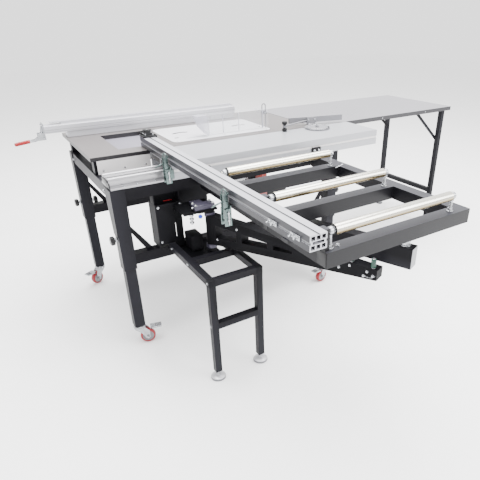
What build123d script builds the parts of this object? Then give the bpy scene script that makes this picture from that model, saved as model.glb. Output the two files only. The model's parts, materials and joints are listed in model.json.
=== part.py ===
"""Sliding-table panel saw on a wheeled tube frame, with an outrigger, fences and a folding extension table.

Millimetres. Origin on the floor, under the middle of the machine. X runs along the cut, to the
extension table; Y runs to the back of the machine; Z is up.
"""
from build123d import *
from math import atan2, cos, degrees, hypot, radians, sin
import os

os.makedirs("parts", exist_ok=True)

# ---- overall sizes -------------------------------------------------------------------------
machine_length = 2720
machine_width = 1938
table_top = 900
gap = 1.0                   # air between pieces that slide past each other
fit = 0.05                  # radial clearance of a shaft in its hole

# ---- tube frame ----------------------------------------------------------------------------
outer_tube = 60
inner_tube = 50
tube_wall = 3
rail_wall = 2
rail_depth = 50
rail_height = 55
frame_top = table_top - 85
outer_tube_end = table_top - 470
lower_rail_low = table_top - 450
lower_rail_height = 50
leg_left = -1073
leg_right = 100
leg_front = 121
leg_back = 877
saw_rail_left = -705
saw_rail_right = -70
saw_rail_width = 40
post_size = 40
brace_run = 98
brace_rise = 140
brace_width = 32
brace_thick = 8

# ---- legs and casters ----------------------------------------------------------------------
leg_end = 110
leg_plug = 34
leg_overlap_top = table_top - 160
stem_radius = 6
wheel_radius = 37.5
wheel_width = 26
axle_radius = 4
caster_trail = 35
fork_plate = 3
fork_top = 104
fork_plate_height = 8
pedal_length = 52
pedal_height = 84
knob_radius = 21
knob_depth = 20

# ---- tables --------------------------------------------------------------------------------
main_left = -1110
main_right = 145
table_front = 344
table_thick = 18
seam = 4
insert_left = -680
insert_right = -93
insert_front = 408
insert_back = 765
insert_thick = 8
insert_ledge = 15
insert_corner = 34
finger_slots = (-570, -208)
finger_arc = 70
finger_y = 617
hoop_wire = 2.5
recess_left = -955
recess_right = -730
recess_front = 435
recess_back = 775
recess_depth = 23
tray_thick = 4
extension_thick = 25
sheet = 3
extension_leg = 30
extension_leg_inset = 28
extension_foot_radius = 27

# ---- step frame ----------------------------------------------------------------------------
step_tube = 30
step_x = (-880, -626)
step_front = -345
step_top = table_top - 385
step_leg_end = 40
step_foot_radius = 34
step_bar_low = 270

# ---- saw unit ------------------------------------------------------------------------------
blade_radius = 150
blade_thick = 3
blade_x = -330
blade_y = 468
blade_rise = -10             # at rest the blade is wound down under the table
slot_middle = -358
slot_length = 464
slot_width = 8
guard_length = 375
guard_height = 103
guard_lift = 5
arbor_radius = 10
column_radius = 12.5
column_span = 260
column_y = 640
motor_radius = 62
motor_length = 205
screw_radius = 8
saw_low = table_top - 380

# ---- sliding carriage and outrigger --------------------------------------------------------
rail_front = 95
rail_back = 240
rail_top = table_top - 38
carriage_left = -832
carriage_length = 1222
carriage_front = 70
carriage_back = 340
carriage_height = 78
gauge_x = 130
gauge_y = 285
gauge_radius = 72
gauge_bar_length = 340
gauge_bar_offset = 106
gauge_bar_shift = 40
gauge_turn = -13
clamp_x = -70
clamp_y = 320
clamp_stem = 5
outrigger_left = -704
outrigger_right = -12
outrigger_front = -875
member_width = 55
member_height = 56
outrigger_top = table_top - 80
roller_radius = 18.5
roller_length = 550
roller_shaft = 6

# ---- fences --------------------------------------------------------------------------------
fence_left = -844
fence_width = 60
fence_height = 49
fence_back = 432
fence_pivot_y = 300
fence_cell = 13
rip_left = -1210
rip_right = -110
rip_front = 826
rip_width = 66
rip_height = 82

# ---- swing arm -----------------------------------------------------------------------------
arm_x = -708
arm_y = -20
arm_end_x = -393
arm_end_y = -807
arm_width = 50
arm_pin = 10
arm_barrel = 22
arm_low = table_top - 376
arm_low_end = table_top - 300
arm_high = table_top - 232
arm_high_end = table_top - 258
arm_chord = 38
inner_arm_near = 380
inner_arm_far = 950
arm_post_at = 912
arm_post_radius = 14
inner_arm_low = table_top - 245
inner_arm_high = table_top - 165

# ---- worked out from the sizes above -------------------------------------------------------
left_end = -machine_length / 2
right_end = machine_length / 2
front_end = -machine_width / 2
back_end = machine_width / 2
rail_low = frame_top - rail_height
table_low = table_top - table_thick
half_leg = outer_tube / 2
legs = {
    "front_left": (leg_left, leg_front, -15, -1, table_top - 320),
    "front_right": (leg_right, leg_front, 190, 1, table_top - 318),
    "rear_left": (leg_left, leg_back, 209, -1, table_top - 375),
    "rear_right": (leg_right, leg_back, 160, 1, table_top - 375),
}
arbor_z = table_top + blade_rise - blade_radius
outrigger_low = outrigger_top - member_height
member_fronts = [outrigger_front, -525, -152]
member_centres = [front + member_width / 2 for front in member_fronts]
roller_z = table_top - roller_radius - 0.5
roller_middle = -385
arm_length = hypot(arm_end_x - arm_x, arm_end_y - arm_y)
arm_turn = degrees(atan2(arm_end_y - arm_y, arm_end_x - arm_x))
fence_mid = fence_left + fence_width / 2


# ---- helpers that add to the part being built ----------------------------------------------
def block(x, y, z, mode=Mode.ADD):
    """An upright block from its low and high x, y and z."""
    middle = ((x[0] + x[1]) / 2, (y[0] + y[1]) / 2, (z[0] + z[1]) / 2)
    with Locations(middle):
        Box(x[1] - x[0], y[1] - y[0], z[1] - z[0], mode=mode)


def shrunk(span, wall):
    return (span[0] + wall, span[1] - wall)


def weld(tubes, wall):
    """Butt-jointed closed tubes: every outside first, then every hollow."""
    for x, y, z in tubes:
        block(x, y, z)
    for x, y, z in tubes:
        block(shrunk(x, wall), shrunk(y, wall), shrunk(z, wall), mode=Mode.SUBTRACT)


def around(middle, size):
    return (middle - size / 2, middle + size / 2)


def upright(x, y, z, radius, mode=Mode.ADD):
    """A vertical round bar between two heights."""
    with Locations((x, y, (z[0] + z[1]) / 2)):
        Cylinder(radius, z[1] - z[0], mode=mode)


def along_x(x, y, z, radius, mode=Mode.ADD):
    with Locations(((x[0] + x[1]) / 2, y, z)):
        Cylinder(radius, x[1] - x[0], rotation=(0, 90, 0), mode=mode)


def along_y(x, y, z, radius, mode=Mode.ADD):
    with Locations((x, (y[0] + y[1]) / 2, z)):
        Cylinder(radius, y[1] - y[0], rotation=(90, 0, 0), mode=mode)


def plate_xz(points, y, mode=Mode.ADD):
    """A plate of the given outline in X and Z, from one y to another."""
    with BuildSketch(Plane.XZ.offset(-y[1])) as outline:
        Polygon(*points, align=None)
    extrude(outline.sketch, amount=y[1] - y[0], mode=mode)


def plate_yz(points, x, mode=Mode.ADD):
    with BuildSketch(Plane.YZ.offset(x[0])) as outline:
        Polygon(*points, align=None)
    extrude(outline.sketch, amount=x[1] - x[0], mode=mode)


def finish(piece, name):
    """Names a finished piece and writes it."""
    piece.part.label = name
    export_step(piece.part, f"parts/{name}.step")


# ---- base frame ----------------------------------------------------------------------------
def end_frame(y, knob_heights):
    """Two socket legs with their top and lower rails, as one welded end frame."""
    rails_x = (leg_left + half_leg, leg_right - half_leg)
    low = (lower_rail_low, lower_rail_low + lower_rail_height)
    tubes = [
        (rails_x, around(y, rail_depth), (rail_low, frame_top)),
        (rails_x, around(y, rail_depth), low),
    ]
    weld(tubes, rail_wall)
    for x in (leg_left, leg_right):
        block(around(x, outer_tube), around(y, outer_tube), (outer_tube_end, frame_top))
        socket = outer_tube - 2 * tube_wall
        block(around(x, socket), around(y, socket), (outer_tube_end, rail_low - 3), Mode.SUBTRACT)
    for x, side in ((rails_x[0], 1), (rails_x[1], -1)):
        foot = (x + side * brace_run, low[1])
        head = (x, low[1] + brace_rise)
        outline = [foot, (foot[0] - side * brace_width, low[1]), (x, head[1] - brace_width), head]
        plate_xz(outline, around(y, brace_thick))
    for x, side, height in ((leg_left, -1, knob_heights[0]), (leg_right, 1, knob_heights[1])):
        face = x + side * half_leg
        wall = sorted((face - side * 6, face + side * 6))
        along_x(wall, y, height, stem_radius + fit, Mode.SUBTRACT)


with BuildPart() as front_frame:
    end_frame(leg_front, (legs["front_left"][4], legs["front_right"][4]))
    gusset_back = leg_front + half_leg + 40
    gusset_low = frame_top - 215
    gusset = [(leg_front - half_leg, frame_top), (gusset_back, frame_top),
              (leg_front + half_leg, gusset_low), (leg_front - half_leg, gusset_low)]
    plate_yz(gusset, (leg_left - half_leg - tube_wall, leg_left - half_leg))
finish(front_frame, "front_frame")

with BuildPart() as rear_frame:
    end_frame(leg_back, (legs["rear_left"][4], legs["rear_right"][4]))
    for x in (leg_left, leg_right):
        block(around(x, post_size), around(leg_back, post_size), (frame_top, table_low))
    second_wall = (leg_left + half_leg - 6, leg_left + half_leg + 6)
    along_x(second_wall, leg_back, legs["rear_left"][4], stem_radius + fit, Mode.SUBTRACT)
finish(rear_frame, "rear_frame")

rail_y = (leg_front + half_leg, leg_back - half_leg)
saw_rail_y = (leg_front + rail_depth / 2, leg_back - rail_depth / 2)
with BuildPart() as side_rails:
    side_tubes = [(around(x, rail_depth), rail_y, (rail_low, frame_top)) for x in (leg_left, leg_right)]
    saw_tubes = [(around(x, saw_rail_width), saw_rail_y, (rail_low, frame_top))
                 for x in (saw_rail_left, saw_rail_right)]
    weld(side_tubes + saw_tubes, rail_wall)
    for x in (leg_left, saw_rail_left, saw_rail_right, leg_right):
        post_y = (table_front + 26, table_front + 26 + post_size)
        block(around(x, saw_rail_width), post_y, (frame_top, table_low))
finish(side_rails, "side_rails")

# ---- guide rail for the carriage -----------------------------------------------------------
rail_mid = (rail_front + rail_back) / 2
with BuildPart() as guide_rail:
    rail_x = (main_left + 12, main_right)
    block(rail_x, (rail_front, rail_back), (frame_top, frame_top + 8))
    block(rail_x, around(rail_mid, 92), (frame_top + 8, rail_top - 8))
    for side in (-1, 1):
        along_x(rail_x, rail_mid + side * 40, rail_top - 8, 8)
    block(shrunk(rail_x, -1), around(rail_mid, 60), (frame_top + 14, rail_top - 15), Mode.SUBTRACT)
    block(shrunk(rail_x, -1), around(rail_mid, 12), (rail_top - 16, rail_top), Mode.SUBTRACT)
finish(guide_rail, "guide_rail")

# ---- main table ----------------------------------------------------------------------------
insert_x = (insert_left, insert_right)
insert_y = (insert_front, insert_back)
with BuildPart() as main_table:
    block((main_left, main_right), (table_front, back_end), (table_low, table_top))
    block((recess_left, recess_right), (recess_front, recess_back), (table_low, table_top), Mode.SUBTRACT)
    insert_middle = ((insert_left + insert_right) / 2, (insert_front + insert_back) / 2)
    with BuildSketch(Plane.XY.offset(table_top)):
        with Locations(insert_middle):
            RectangleRounded(insert_right - insert_left + 1, insert_back - insert_front + 1, insert_corner)
    extrude(amount=-insert_thick, mode=Mode.SUBTRACT)
    window = (shrunk(insert_x, insert_ledge), shrunk(insert_y, insert_ledge))
    block(window[0], window[1], (table_low, table_top), Mode.SUBTRACT)
finish(main_table, "main_table")

with BuildPart() as recess_plate:
    tray_x = (recess_left - 8, recess_right + 8)
    tray_y = (recess_front - 8, recess_back + 8)
    tray_low = table_top - recess_depth - tray_thick
    block(tray_x, tray_y, (tray_low, table_low))
    tray_hollow = (table_top - recess_depth, table_low)
    block(shrunk(tray_x, 8), shrunk(tray_y, 8), tray_hollow, Mode.SUBTRACT)
finish(recess_plate, "recess_plate")

guard_hinge_x = slot_middle + slot_length / 2 + 12
guard_hinge_z = table_top + 85
hoop_leg = 11
hoop_bend_z = guard_hinge_z + 36
slot_left = slot_middle - slot_length / 2
slot_right = slot_middle + slot_length / 2
slot_y = around(blade_y, slot_width)
insert_z = (table_top - insert_thick, table_top)
with BuildPart() as insert_plate:
    with BuildSketch(Plane.XY.offset(table_top)):
        with Locations(insert_middle):
            RectangleRounded(insert_right - insert_left, insert_back - insert_front, insert_corner - 0.5)
        for x in finger_slots:
            with Locations((x, finger_y)):
                SlotArc(CenterArc((0, -finger_arc), finger_arc, 60, 60), 20, mode=Mode.SUBTRACT)
    extrude(amount=-insert_thick)
    block((insert_left - 1, insert_right + 1), slot_y, (insert_z[0] - 1, table_top + 1), Mode.SUBTRACT)
    for x in ((insert_left, slot_left), (slot_right, insert_right)):
        block(x, shrunk(slot_y, fit), insert_z)
    for x in (guard_hinge_x - hoop_leg, guard_hinge_x + hoop_leg):
        upright(x, blade_y, (table_top - 1, hoop_bend_z), hoop_wire)
    with BuildSketch(Plane.XY.offset(hoop_bend_z)):
        with Locations((guard_hinge_x + hoop_leg, blade_y)):
            Circle(hoop_wire)
    bend_axis = Axis((guard_hinge_x, blade_y, hoop_bend_z), (0, 1, 0))
    revolve(axis=bend_axis, revolution_arc=-180)
    block(around(guard_hinge_x, 2 * hoop_leg + 6), around(blade_y, 7), around(guard_hinge_z, 20))
    along_y(guard_hinge_x, around(blade_y, 30), guard_hinge_z, 5 + fit, Mode.SUBTRACT)
finish(insert_plate, "insert_plate")

with BuildPart() as apron_panel:
    block((main_left + 26, carriage_left - 2), (table_front, table_front + 3), (frame_top + 3, table_low))
finish(apron_panel, "apron_panel")

# ---- blade guard ---------------------------------------------------------------------------
guard_right = guard_hinge_x + 14
guard_left = guard_right - guard_length
guard_y = around(blade_y, 54)
guard_z = (table_top + guard_lift, table_top + guard_lift + guard_height)
with BuildPart() as blade_guard:
    nose = [(guard_left - 62, guard_z[1]), (guard_left - 38, guard_z[0] + 42), (guard_left, guard_z[0])]
    plate_xz(nose + [(guard_right, guard_z[0]), (guard_right, guard_z[1])], guard_y)
    inner = [(guard_left - 55, guard_z[1] - 4), (guard_left - 33, guard_z[0] + 42),
             (guard_left + 5, guard_z[0] - 1), (guard_right + 1, guard_z[0] - 1),
             (guard_right + 1, guard_z[1] - 4)]
    plate_xz(inner, shrunk(guard_y, 4), Mode.SUBTRACT)
    hoop_slot = (guard_hinge_x - 62, guard_right + 1)
    block(hoop_slot, around(blade_y, 14), (guard_z[1] - 6, guard_z[1] + 1), Mode.SUBTRACT)
    along_y(guard_hinge_x, guard_y, guard_hinge_z, 5)
finish(blade_guard, "blade_guard")

# ---- saw unit under the insert plate -------------------------------------------------------
cradle_x = (saw_rail_left + saw_rail_width / 2, saw_rail_right - saw_rail_width / 2)
columns = [blade_x - column_span / 2, blade_x + column_span / 2]
screw_x = columns[1] + 55
with BuildPart() as saw_mount:
    cradle_y = around(column_y, 70)
    for x in ((cradle_x[0], cradle_x[0] + 8), (cradle_x[1] - 8, cradle_x[1])):
        block(x, cradle_y, (saw_low, frame_top))
    block(cradle_x, cradle_y, (saw_low, saw_low + 20))
    for x in columns:
        upright(x, column_y, (saw_low + 20, table_low - 12), column_radius)
    upright(screw_x, column_y, (saw_low - 1, saw_low + 21), screw_radius + fit, Mode.SUBTRACT)
finish(saw_mount, "saw_mount")

plate_y = (blade_y + 55, blade_y + 67)
with BuildPart() as saw_carrier:
    block((columns[0] - 25, screw_x + 22), plate_y, (arbor_z - 60, arbor_z + 60))
    for x in ((columns[0] - 25, columns[0] + 25), (columns[1] - 25, screw_x + 22)):
        block(x, (plate_y[1], column_y + 25), (arbor_z - 40, arbor_z + 40))
    for x in columns:
        upright(x, column_y, (arbor_z - 41, arbor_z + 41), column_radius + fit, Mode.SUBTRACT)
    upright(screw_x, column_y, (arbor_z - 41, arbor_z + 41), screw_radius + fit, Mode.SUBTRACT)
    along_y(blade_x, plate_y, arbor_z, arbor_radius + fit, Mode.SUBTRACT)
    knife_x = (blade_x + blade_radius + 8, blade_x + blade_radius + 38)
    block((knife_x[0], knife_x[1]), (blade_y - 1, plate_y[0]), (arbor_z - 20, arbor_z + 10))
    knife = [(knife_x[0], arbor_z), (knife_x[1], arbor_z), (knife_x[1], arbor_z + blade_radius - 10),
             (knife_x[0] - 12, arbor_z + blade_radius - 4)]
    plate_xz(knife, around(blade_y, 2))
finish(saw_carrier, "saw_carrier")

with BuildPart() as motor:
    motor_y = (plate_y[1], plate_y[1] + motor_length)
    along_y(blade_x, motor_y, arbor_z, motor_radius)
    for angle in range(0, 360, 30):
        fin_x = blade_x + (motor_radius + 1) * cos(radians(angle))
        fin_z = arbor_z + (motor_radius + 1) * sin(radians(angle))
        along_y(fin_x, shrunk(motor_y, 30), fin_z, 4)
    along_y(blade_x, (motor_y[0], motor_y[0] + 36), arbor_z, arbor_radius + fit, Mode.SUBTRACT)
finish(motor, "motor")

blade_span = around(blade_y, blade_thick)
with BuildPart() as arbor:
    along_y(blade_x, (blade_span[0] - 22, plate_y[1] + 30), arbor_z, arbor_radius)
    along_y(blade_x, (blade_span[0] - 12, blade_span[0]), arbor_z, 24)
    along_y(blade_x, (blade_span[1], blade_span[1] + 12), arbor_z, 35)
finish(arbor, "arbor")

with BuildPart() as saw_blade:
    along_y(blade_x, blade_span, arbor_z, blade_radius - 8)
    tooth_count = 36
    for tooth in range(tooth_count):
        turn = radians(360 / tooth_count * tooth)
        root = radians(360 / tooth_count * (tooth + 0.75))
        tip = (blade_x + blade_radius * cos(turn), arbor_z + blade_radius * sin(turn))
        low = (blade_x + (blade_radius - 12) * cos(turn), arbor_z + (blade_radius - 12) * sin(turn))
        back = (blade_x + (blade_radius - 9) * cos(root), arbor_z + (blade_radius - 9) * sin(root))
        plate_xz([low, tip, back], blade_span)
    along_y(blade_x, blade_span, arbor_z, arbor_radius, Mode.SUBTRACT)
finish(saw_blade, "saw_blade")

with BuildPart() as lift_screw:
    upright(screw_x, column_y, (saw_low - 30, table_low - 20), screw_radius)
    upright(screw_x, column_y, (saw_low - 16, saw_low - 2), 55)
    upright(screw_x, column_y, (saw_low - 13, saw_low - 5), 44, Mode.SUBTRACT)
    upright(screw_x, column_y, (saw_low - 16, saw_low - 2), 16)
    for turn in (0, 60, 120):
        with Locations(Location((screw_x, column_y, saw_low - 9), (0, 0, turn))):
            Box(92, 10, 6)
finish(lift_screw, "lift_screw")

# ---- bracket box that holds the swing arm --------------------------------------------------
box_x = (-923, -800)
box_front = leg_front - half_leg
low_rail_top = lower_rail_low + lower_rail_height
box_top = table_top - 188
pin_low = low_rail_top - 26
pin_high = box_top - 22
with BuildPart() as hinge_box:
    block(box_x, (box_front, box_front + 4), (step_top + gap, box_top))
    for x in ((box_x[0], box_x[0] + 4), (box_x[1] - 4, box_x[1])):
        block(x, (box_front, box_front + 90), (low_rail_top, box_top))
    for z in ((box_top - 49, box_top - 14), (box_top - 171, box_top - 99)):
        block((-837, -832), (box_front - 1, box_front + 5), z, Mode.SUBTRACT)
    block((box_x[1] - 40, arm_x + 28), (arm_y - 26, box_front + 4), (pin_high, pin_high + 10))
    block((box_x[1] - 40, arm_x + 28), (arm_y - 26, leg_front - rail_depth / 2), (pin_low, pin_low + 8))
    block((box_x[1] - 45, box_x[1]), (box_front, box_front + 4), (pin_low, step_top + 2))
    upright(arm_x, arm_y, (pin_low, pin_high + 16), arm_pin)
finish(hinge_box, "hinge_box")

# ---- swing arm: outer truss and telescoping inner tube -------------------------------------
arm_plane = Plane(origin=(arm_x, arm_y, 0), x_dir=(cos(radians(arm_turn)), sin(radians(arm_turn)), 0),
                  z_dir=(sin(radians(arm_turn)), -cos(radians(arm_turn)), 0))


def arm_low_at(s):
    return arm_low + (arm_low_end - arm_low) * s / arm_length


def arm_high_at(s):
    return arm_high + (arm_high_end - arm_high) * s / arm_length


def arm_plate(points, near, width, mode=Mode.ADD):
    """A plate along the arm: outline in distance from the pivot and height, width sideways."""
    with BuildSketch(arm_plane.offset(near)) as outline:
        Polygon(*points, align=None)
    extrude(outline.sketch, amount=width, mode=mode)


with BuildPart() as arm_outer:
    profile = [(0, arm_low), (arm_length, arm_low_end), (arm_length, arm_high_end), (0, arm_high)]
    arm_plate(profile, -arm_width / 2, arm_width)
    for near, far in ((50, 175), (205, 345), (375, 470)):
        far_high = max(arm_high_at(far) - arm_chord, arm_low_at(far) + arm_chord + 4)
        window = [(near, arm_low_at(near) + arm_chord), (far, arm_low_at(far) + arm_chord),
                  (far, far_high), (near, arm_high_at(near) - arm_chord)]
        arm_plate(window, -arm_width, 2 * arm_width, Mode.SUBTRACT)
    upright(arm_x, arm_y, (pin_low + 8 + gap, pin_high - gap), arm_barrel)
    upright(arm_x, arm_y, (pin_low + 8, pin_high), arm_pin + fit, Mode.SUBTRACT)
finish(arm_outer, "arm_outer")

with BuildPart() as arm_inner:
    inner_side = -(arm_width / 2 + 5 + arm_width)
    profile = [(inner_arm_near, inner_arm_low), (inner_arm_far, inner_arm_low),
               (inner_arm_far, inner_arm_high), (inner_arm_near, inner_arm_high)]
    arm_plate(profile, inner_side, arm_width)
    hollow = [(inner_arm_near + 3, inner_arm_low + 3), (inner_arm_far - 3, inner_arm_low + 3),
              (inner_arm_far - 3, inner_arm_high - 3), (inner_arm_near + 3, inner_arm_high - 3)]
    arm_plate(hollow, inner_side + 3, arm_width - 6, Mode.SUBTRACT)
    post_at = arm_plane.from_local_coords((arm_post_at, inner_arm_high, inner_side + arm_width / 2))
    upright(post_at.X, post_at.Y, (inner_arm_high - 3, outrigger_low - gap), arm_post_radius)
finish(arm_inner, "arm_inner")

with BuildPart() as arm_rollers:
    for s in (738, 826):
        stand = arm_plane.from_local_coords((s, arm_high_at(s), 12))
        upright(stand.X, stand.Y, (arm_high_at(s) + 0.2, arm_high_at(s) + 6), 5)
        upright(stand.X, stand.Y, (arm_high_at(s) + 3, arm_high_at(s) + 40), 10)
finish(arm_rollers, "arm_rollers")

# ---- step frame in front -------------------------------------------------------------------
with BuildPart() as step_frame:
    step_z = (step_top - step_tube, step_top)
    sides = [(step_x[0], step_x[0] + step_tube), (step_x[1] - step_tube, step_x[1])]
    between = (sides[0][1], sides[1][0])
    tubes = []
    for side in sides:
        tubes.append((side, (step_front + step_tube, leg_front - rail_depth / 2), step_z))
        tubes.append((side, (step_front, step_front + step_tube), (step_leg_end, step_top)))
    for front, z in ((step_front, step_z), (-135, step_z), (step_front, (step_bar_low, step_bar_low + step_tube))):
        tubes.append((between, (front, front + step_tube), z))
    weld(tubes, rail_wall)
finish(step_frame, "step_frame")

with BuildPart() as step_feet:
    for x in (step_x[0] + step_tube / 2, step_x[1] - step_tube / 2):
        upright(x, step_front + step_tube / 2, (0, 14), step_foot_radius)
        upright(x, step_front + step_tube / 2, (14, step_leg_end), 7)
finish(step_feet, "step_feet")

# ---- sliding carriage ----------------------------------------------------------------------
carriage_right = carriage_left + carriage_length
carriage_x = (carriage_left, carriage_right)
carriage_y = (carriage_front, carriage_back)
carriage_low = table_top - carriage_height
with BuildPart() as carriage:
    block(carriage_x, carriage_y, (carriage_low, table_top))
    block(shrunk(carriage_x, -1), shrunk(carriage_y, 6), (carriage_low - 1, table_top - 12), Mode.SUBTRACT)
    for side in (-1, 1):
        block(carriage_x, around(rail_mid + side * 40, 10), (rail_top + gap, table_top - 12))
    for y in (carriage_y[0] - 1, carriage_y[1] - 3):
        block(shrunk(carriage_x, -1), (y, y + 4), (table_top - 44, table_top - 32), Mode.SUBTRACT)
finish(carriage, "carriage")

member_x = (outrigger_left, outrigger_right)
with BuildPart() as outrigger_frame:
    outrigger_z = (outrigger_low, outrigger_top)
    tubes = [(member_x, (front, front + member_width), outrigger_z) for front in member_fronts]
    bays = [(member_fronts[0] + member_width, member_fronts[1]),
            (member_fronts[1] + member_width, member_fronts[2]),
            (member_fronts[2] + member_width, carriage_front)]
    side_left = outrigger_left
    for x in ((side_left, side_left + member_width), (outrigger_right - member_width, outrigger_right)):
        for bay in bays:
            tubes.append((x, bay, outrigger_z))
    weld(tubes, rail_wall)
    for x in ((side_left, side_left + member_width), (outrigger_right - member_width, outrigger_right)):
        block(x, (carriage_front - 8, carriage_front), (outrigger_low, carriage_low + 40))
    for front in member_fronts[:2]:
        rest_y = (front + 12, front + 44)
        block((outrigger_left, outrigger_left + 16), rest_y, (outrigger_top, table_top - 8))
        block((fence_left, outrigger_left + 16), rest_y, (table_top - 16, table_top - 4))
finish(outrigger_frame, "outrigger_frame")

roller_x = around(roller_middle, roller_length)
stand_x = [(roller_x[0] - 24, roller_x[0] - 2), (roller_x[1] + 2, roller_x[1] + 24)]
with BuildPart() as roller_posts:
    for y in member_centres:
        for x in stand_x:
            middle = (x[0] + x[1]) / 2
            upright(middle, y, (outrigger_top, roller_z - 10), 7)
            block(x, around(y, 26), (roller_z - 14, roller_z + 14))
            along_x(shrunk(x, -1), y, roller_z, roller_shaft + fit, Mode.SUBTRACT)
finish(roller_posts, "roller_posts")


def roller(y):
    along_x(roller_x, y, roller_z, roller_radius)
    along_x(shrunk(roller_x, 12), y, roller_z, roller_radius - 2, Mode.SUBTRACT)
    along_x(shrunk(roller_x, -26), y, roller_z, roller_shaft)


for number, y in enumerate(member_centres, start=1):
    with BuildPart() as support_roller:
        roller(y)
    finish(support_roller, f"roller_{number}")

# ---- mitre gauge and clamp knob on the carriage --------------------------------------------
gauge_x_dir = (cos(radians(gauge_turn)), sin(radians(gauge_turn)), 0)
gauge_plane = Plane(origin=(gauge_x, gauge_y, table_top), x_dir=gauge_x_dir, z_dir=(0, 0, 1))
bar_z = (table_top + 14, table_top + 46)


def gauge_block(x, y, z, mode=Mode.ADD):
    """A block square to the gauge bar, in the gauge's own x and y."""
    middle_up = (z[0] + z[1]) / 2 - table_top
    middle = gauge_plane.from_local_coords(((x[0] + x[1]) / 2, (y[0] + y[1]) / 2, middle_up))
    with Locations(Location(middle, (0, 0, gauge_turn))):
        Box(x[1] - x[0], y[1] - y[0], z[1] - z[0], mode=mode)


with BuildPart() as mitre_gauge:
    gauge_z = table_top + gap
    upright(gauge_x, gauge_y, (gauge_z, gauge_z + 7), gauge_radius)
    upright(gauge_x, gauge_y, (gauge_z + 7, gauge_z + 16), 10)
    bar_x = around(gauge_bar_shift, gauge_bar_length)
    gauge_block(bar_x, (gauge_bar_offset, gauge_bar_offset + 14), bar_z)
    bar_hollow = (gauge_bar_offset + 4, gauge_bar_offset + 10)
    gauge_block(shrunk(bar_x, -1), bar_hollow, shrunk(bar_z, 6), Mode.SUBTRACT)
    gauge_block((-22, 40), (gauge_bar_offset - 5, gauge_bar_offset), (gauge_z + 2, bar_z[1] - 2))
    gauge_block((-22, 40), (40, gauge_bar_offset), (gauge_z + 2, gauge_z + 7))
    rod_z = table_top + 28
    rod_start = gauge_plane.from_local_coords((-18, gauge_bar_offset - 3, 0))
    rod_run = hypot(rod_start.X - clamp_x, rod_start.Y - clamp_y)
    rod_turn = degrees(atan2(rod_start.Y - clamp_y, rod_start.X - clamp_x))
    rod_middle = ((rod_start.X + clamp_x) / 2, (rod_start.Y + clamp_y) / 2, rod_z)
    with Locations(Location(rod_middle, (0, 0, rod_turn))):
        Cylinder(4, rod_run, rotation=(0, 90, 0))
    upright(clamp_x, clamp_y, around(rod_z, 10), 10)
    upright(clamp_x, clamp_y, around(rod_z, 12), clamp_stem + fit, Mode.SUBTRACT)
finish(mitre_gauge, "mitre_gauge")

with BuildPart() as clamp_knob:
    knob_z = table_top + gap
    upright(clamp_x, clamp_y, (knob_z, knob_z + 52), clamp_stem)
    upright(clamp_x, clamp_y, (knob_z, knob_z + 18), 15)
    upright(clamp_x, clamp_y, (knob_z + 36, knob_z + 54), 16)
finish(clamp_knob, "clamp_knob")

# ---- crosscut fence ------------------------------------------------------------------------
fence_x = (fence_left, fence_left + fence_width)
fence_y = (front_end, fence_back)
fence_z = (table_top + gap, table_top + gap + fence_height)
with BuildPart() as crosscut_fence:
    block(fence_x, fence_y, fence_z)
    past = shrunk(fence_y, -1)
    for x in (fence_x[0] + 5, fence_mid - fence_cell / 2, fence_x[1] - 5 - fence_cell):
        for z in (fence_z[0] + 4, fence_z[1] - 4 - fence_cell):
            block((x, x + fence_cell), past, (z, z + fence_cell), Mode.SUBTRACT)
    middle_z = (fence_z[0] + fence_z[1]) / 2
    block((fence_mid - 20, fence_mid + 20), past, around(middle_z, 9), Mode.SUBTRACT)
    for x in (fence_x[0], fence_x[1] - 3):
        block((x, x + 3), past, around(middle_z, 8), Mode.SUBTRACT)
    block(around(fence_mid, 8), past, (fence_z[1] - 3, fence_z[1]), Mode.SUBTRACT)
finish(crosscut_fence, "crosscut_fence")

stop_y = (fence_back - 62, fence_back + 6)
with BuildPart() as flip_stop:
    block((fence_x[0] - 2, fence_x[1] + 8), stop_y, (fence_z[1] + gap, fence_z[1] + 9))
    block((fence_x[1] + gap, fence_x[1] + 8), stop_y, (fence_z[0] + 2, fence_z[1] + gap))
    upright(fence_mid, fence_back - 28, (fence_z[1] + 9, fence_z[1] + 18), 8)
    upright(fence_mid, fence_back - 28, (fence_z[1] + 18, fence_z[1] + 36), 20)
finish(flip_stop, "flip_stop")

# ---- over-centre latches beside the crosscut fence -----------------------------------------
latch_rows = {"latch_lever_rear": carriage_front - 10, "latch_lever_front": member_fronts[1] + 28}
latch_x = fence_left - 17
latch_z = table_top - 52
with BuildPart() as latch_bases:
    for y in latch_rows.values():
        for side in (-1, 1):
            block((latch_x - 9, fence_left), around(y + side * 14, 5), (latch_z - 30, latch_z + 34))
        block((fence_left - 5, fence_left), around(y, 33), (latch_z - 30, latch_z + 44))
        along_y(latch_x, around(y, 33), latch_z, 4)
    rear_row = latch_rows["latch_lever_rear"]
    block((fence_left, carriage_left), around(rear_row, 33), (latch_z - 10, latch_z + 30))
finish(latch_bases, "latch_bases")

for name, y in latch_rows.items():
    with BuildPart() as latch_lever:
        block(around(latch_x, 10), around(y, 20), (latch_z - 7, table_top + 30))
        block((latch_x - 5, fence_left - 3), around(y, 20), (table_top + 30, table_top + 36))
        along_y(latch_x, around(y, 22), latch_z, 4 + fit, Mode.SUBTRACT)
    finish(latch_lever, name)

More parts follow.
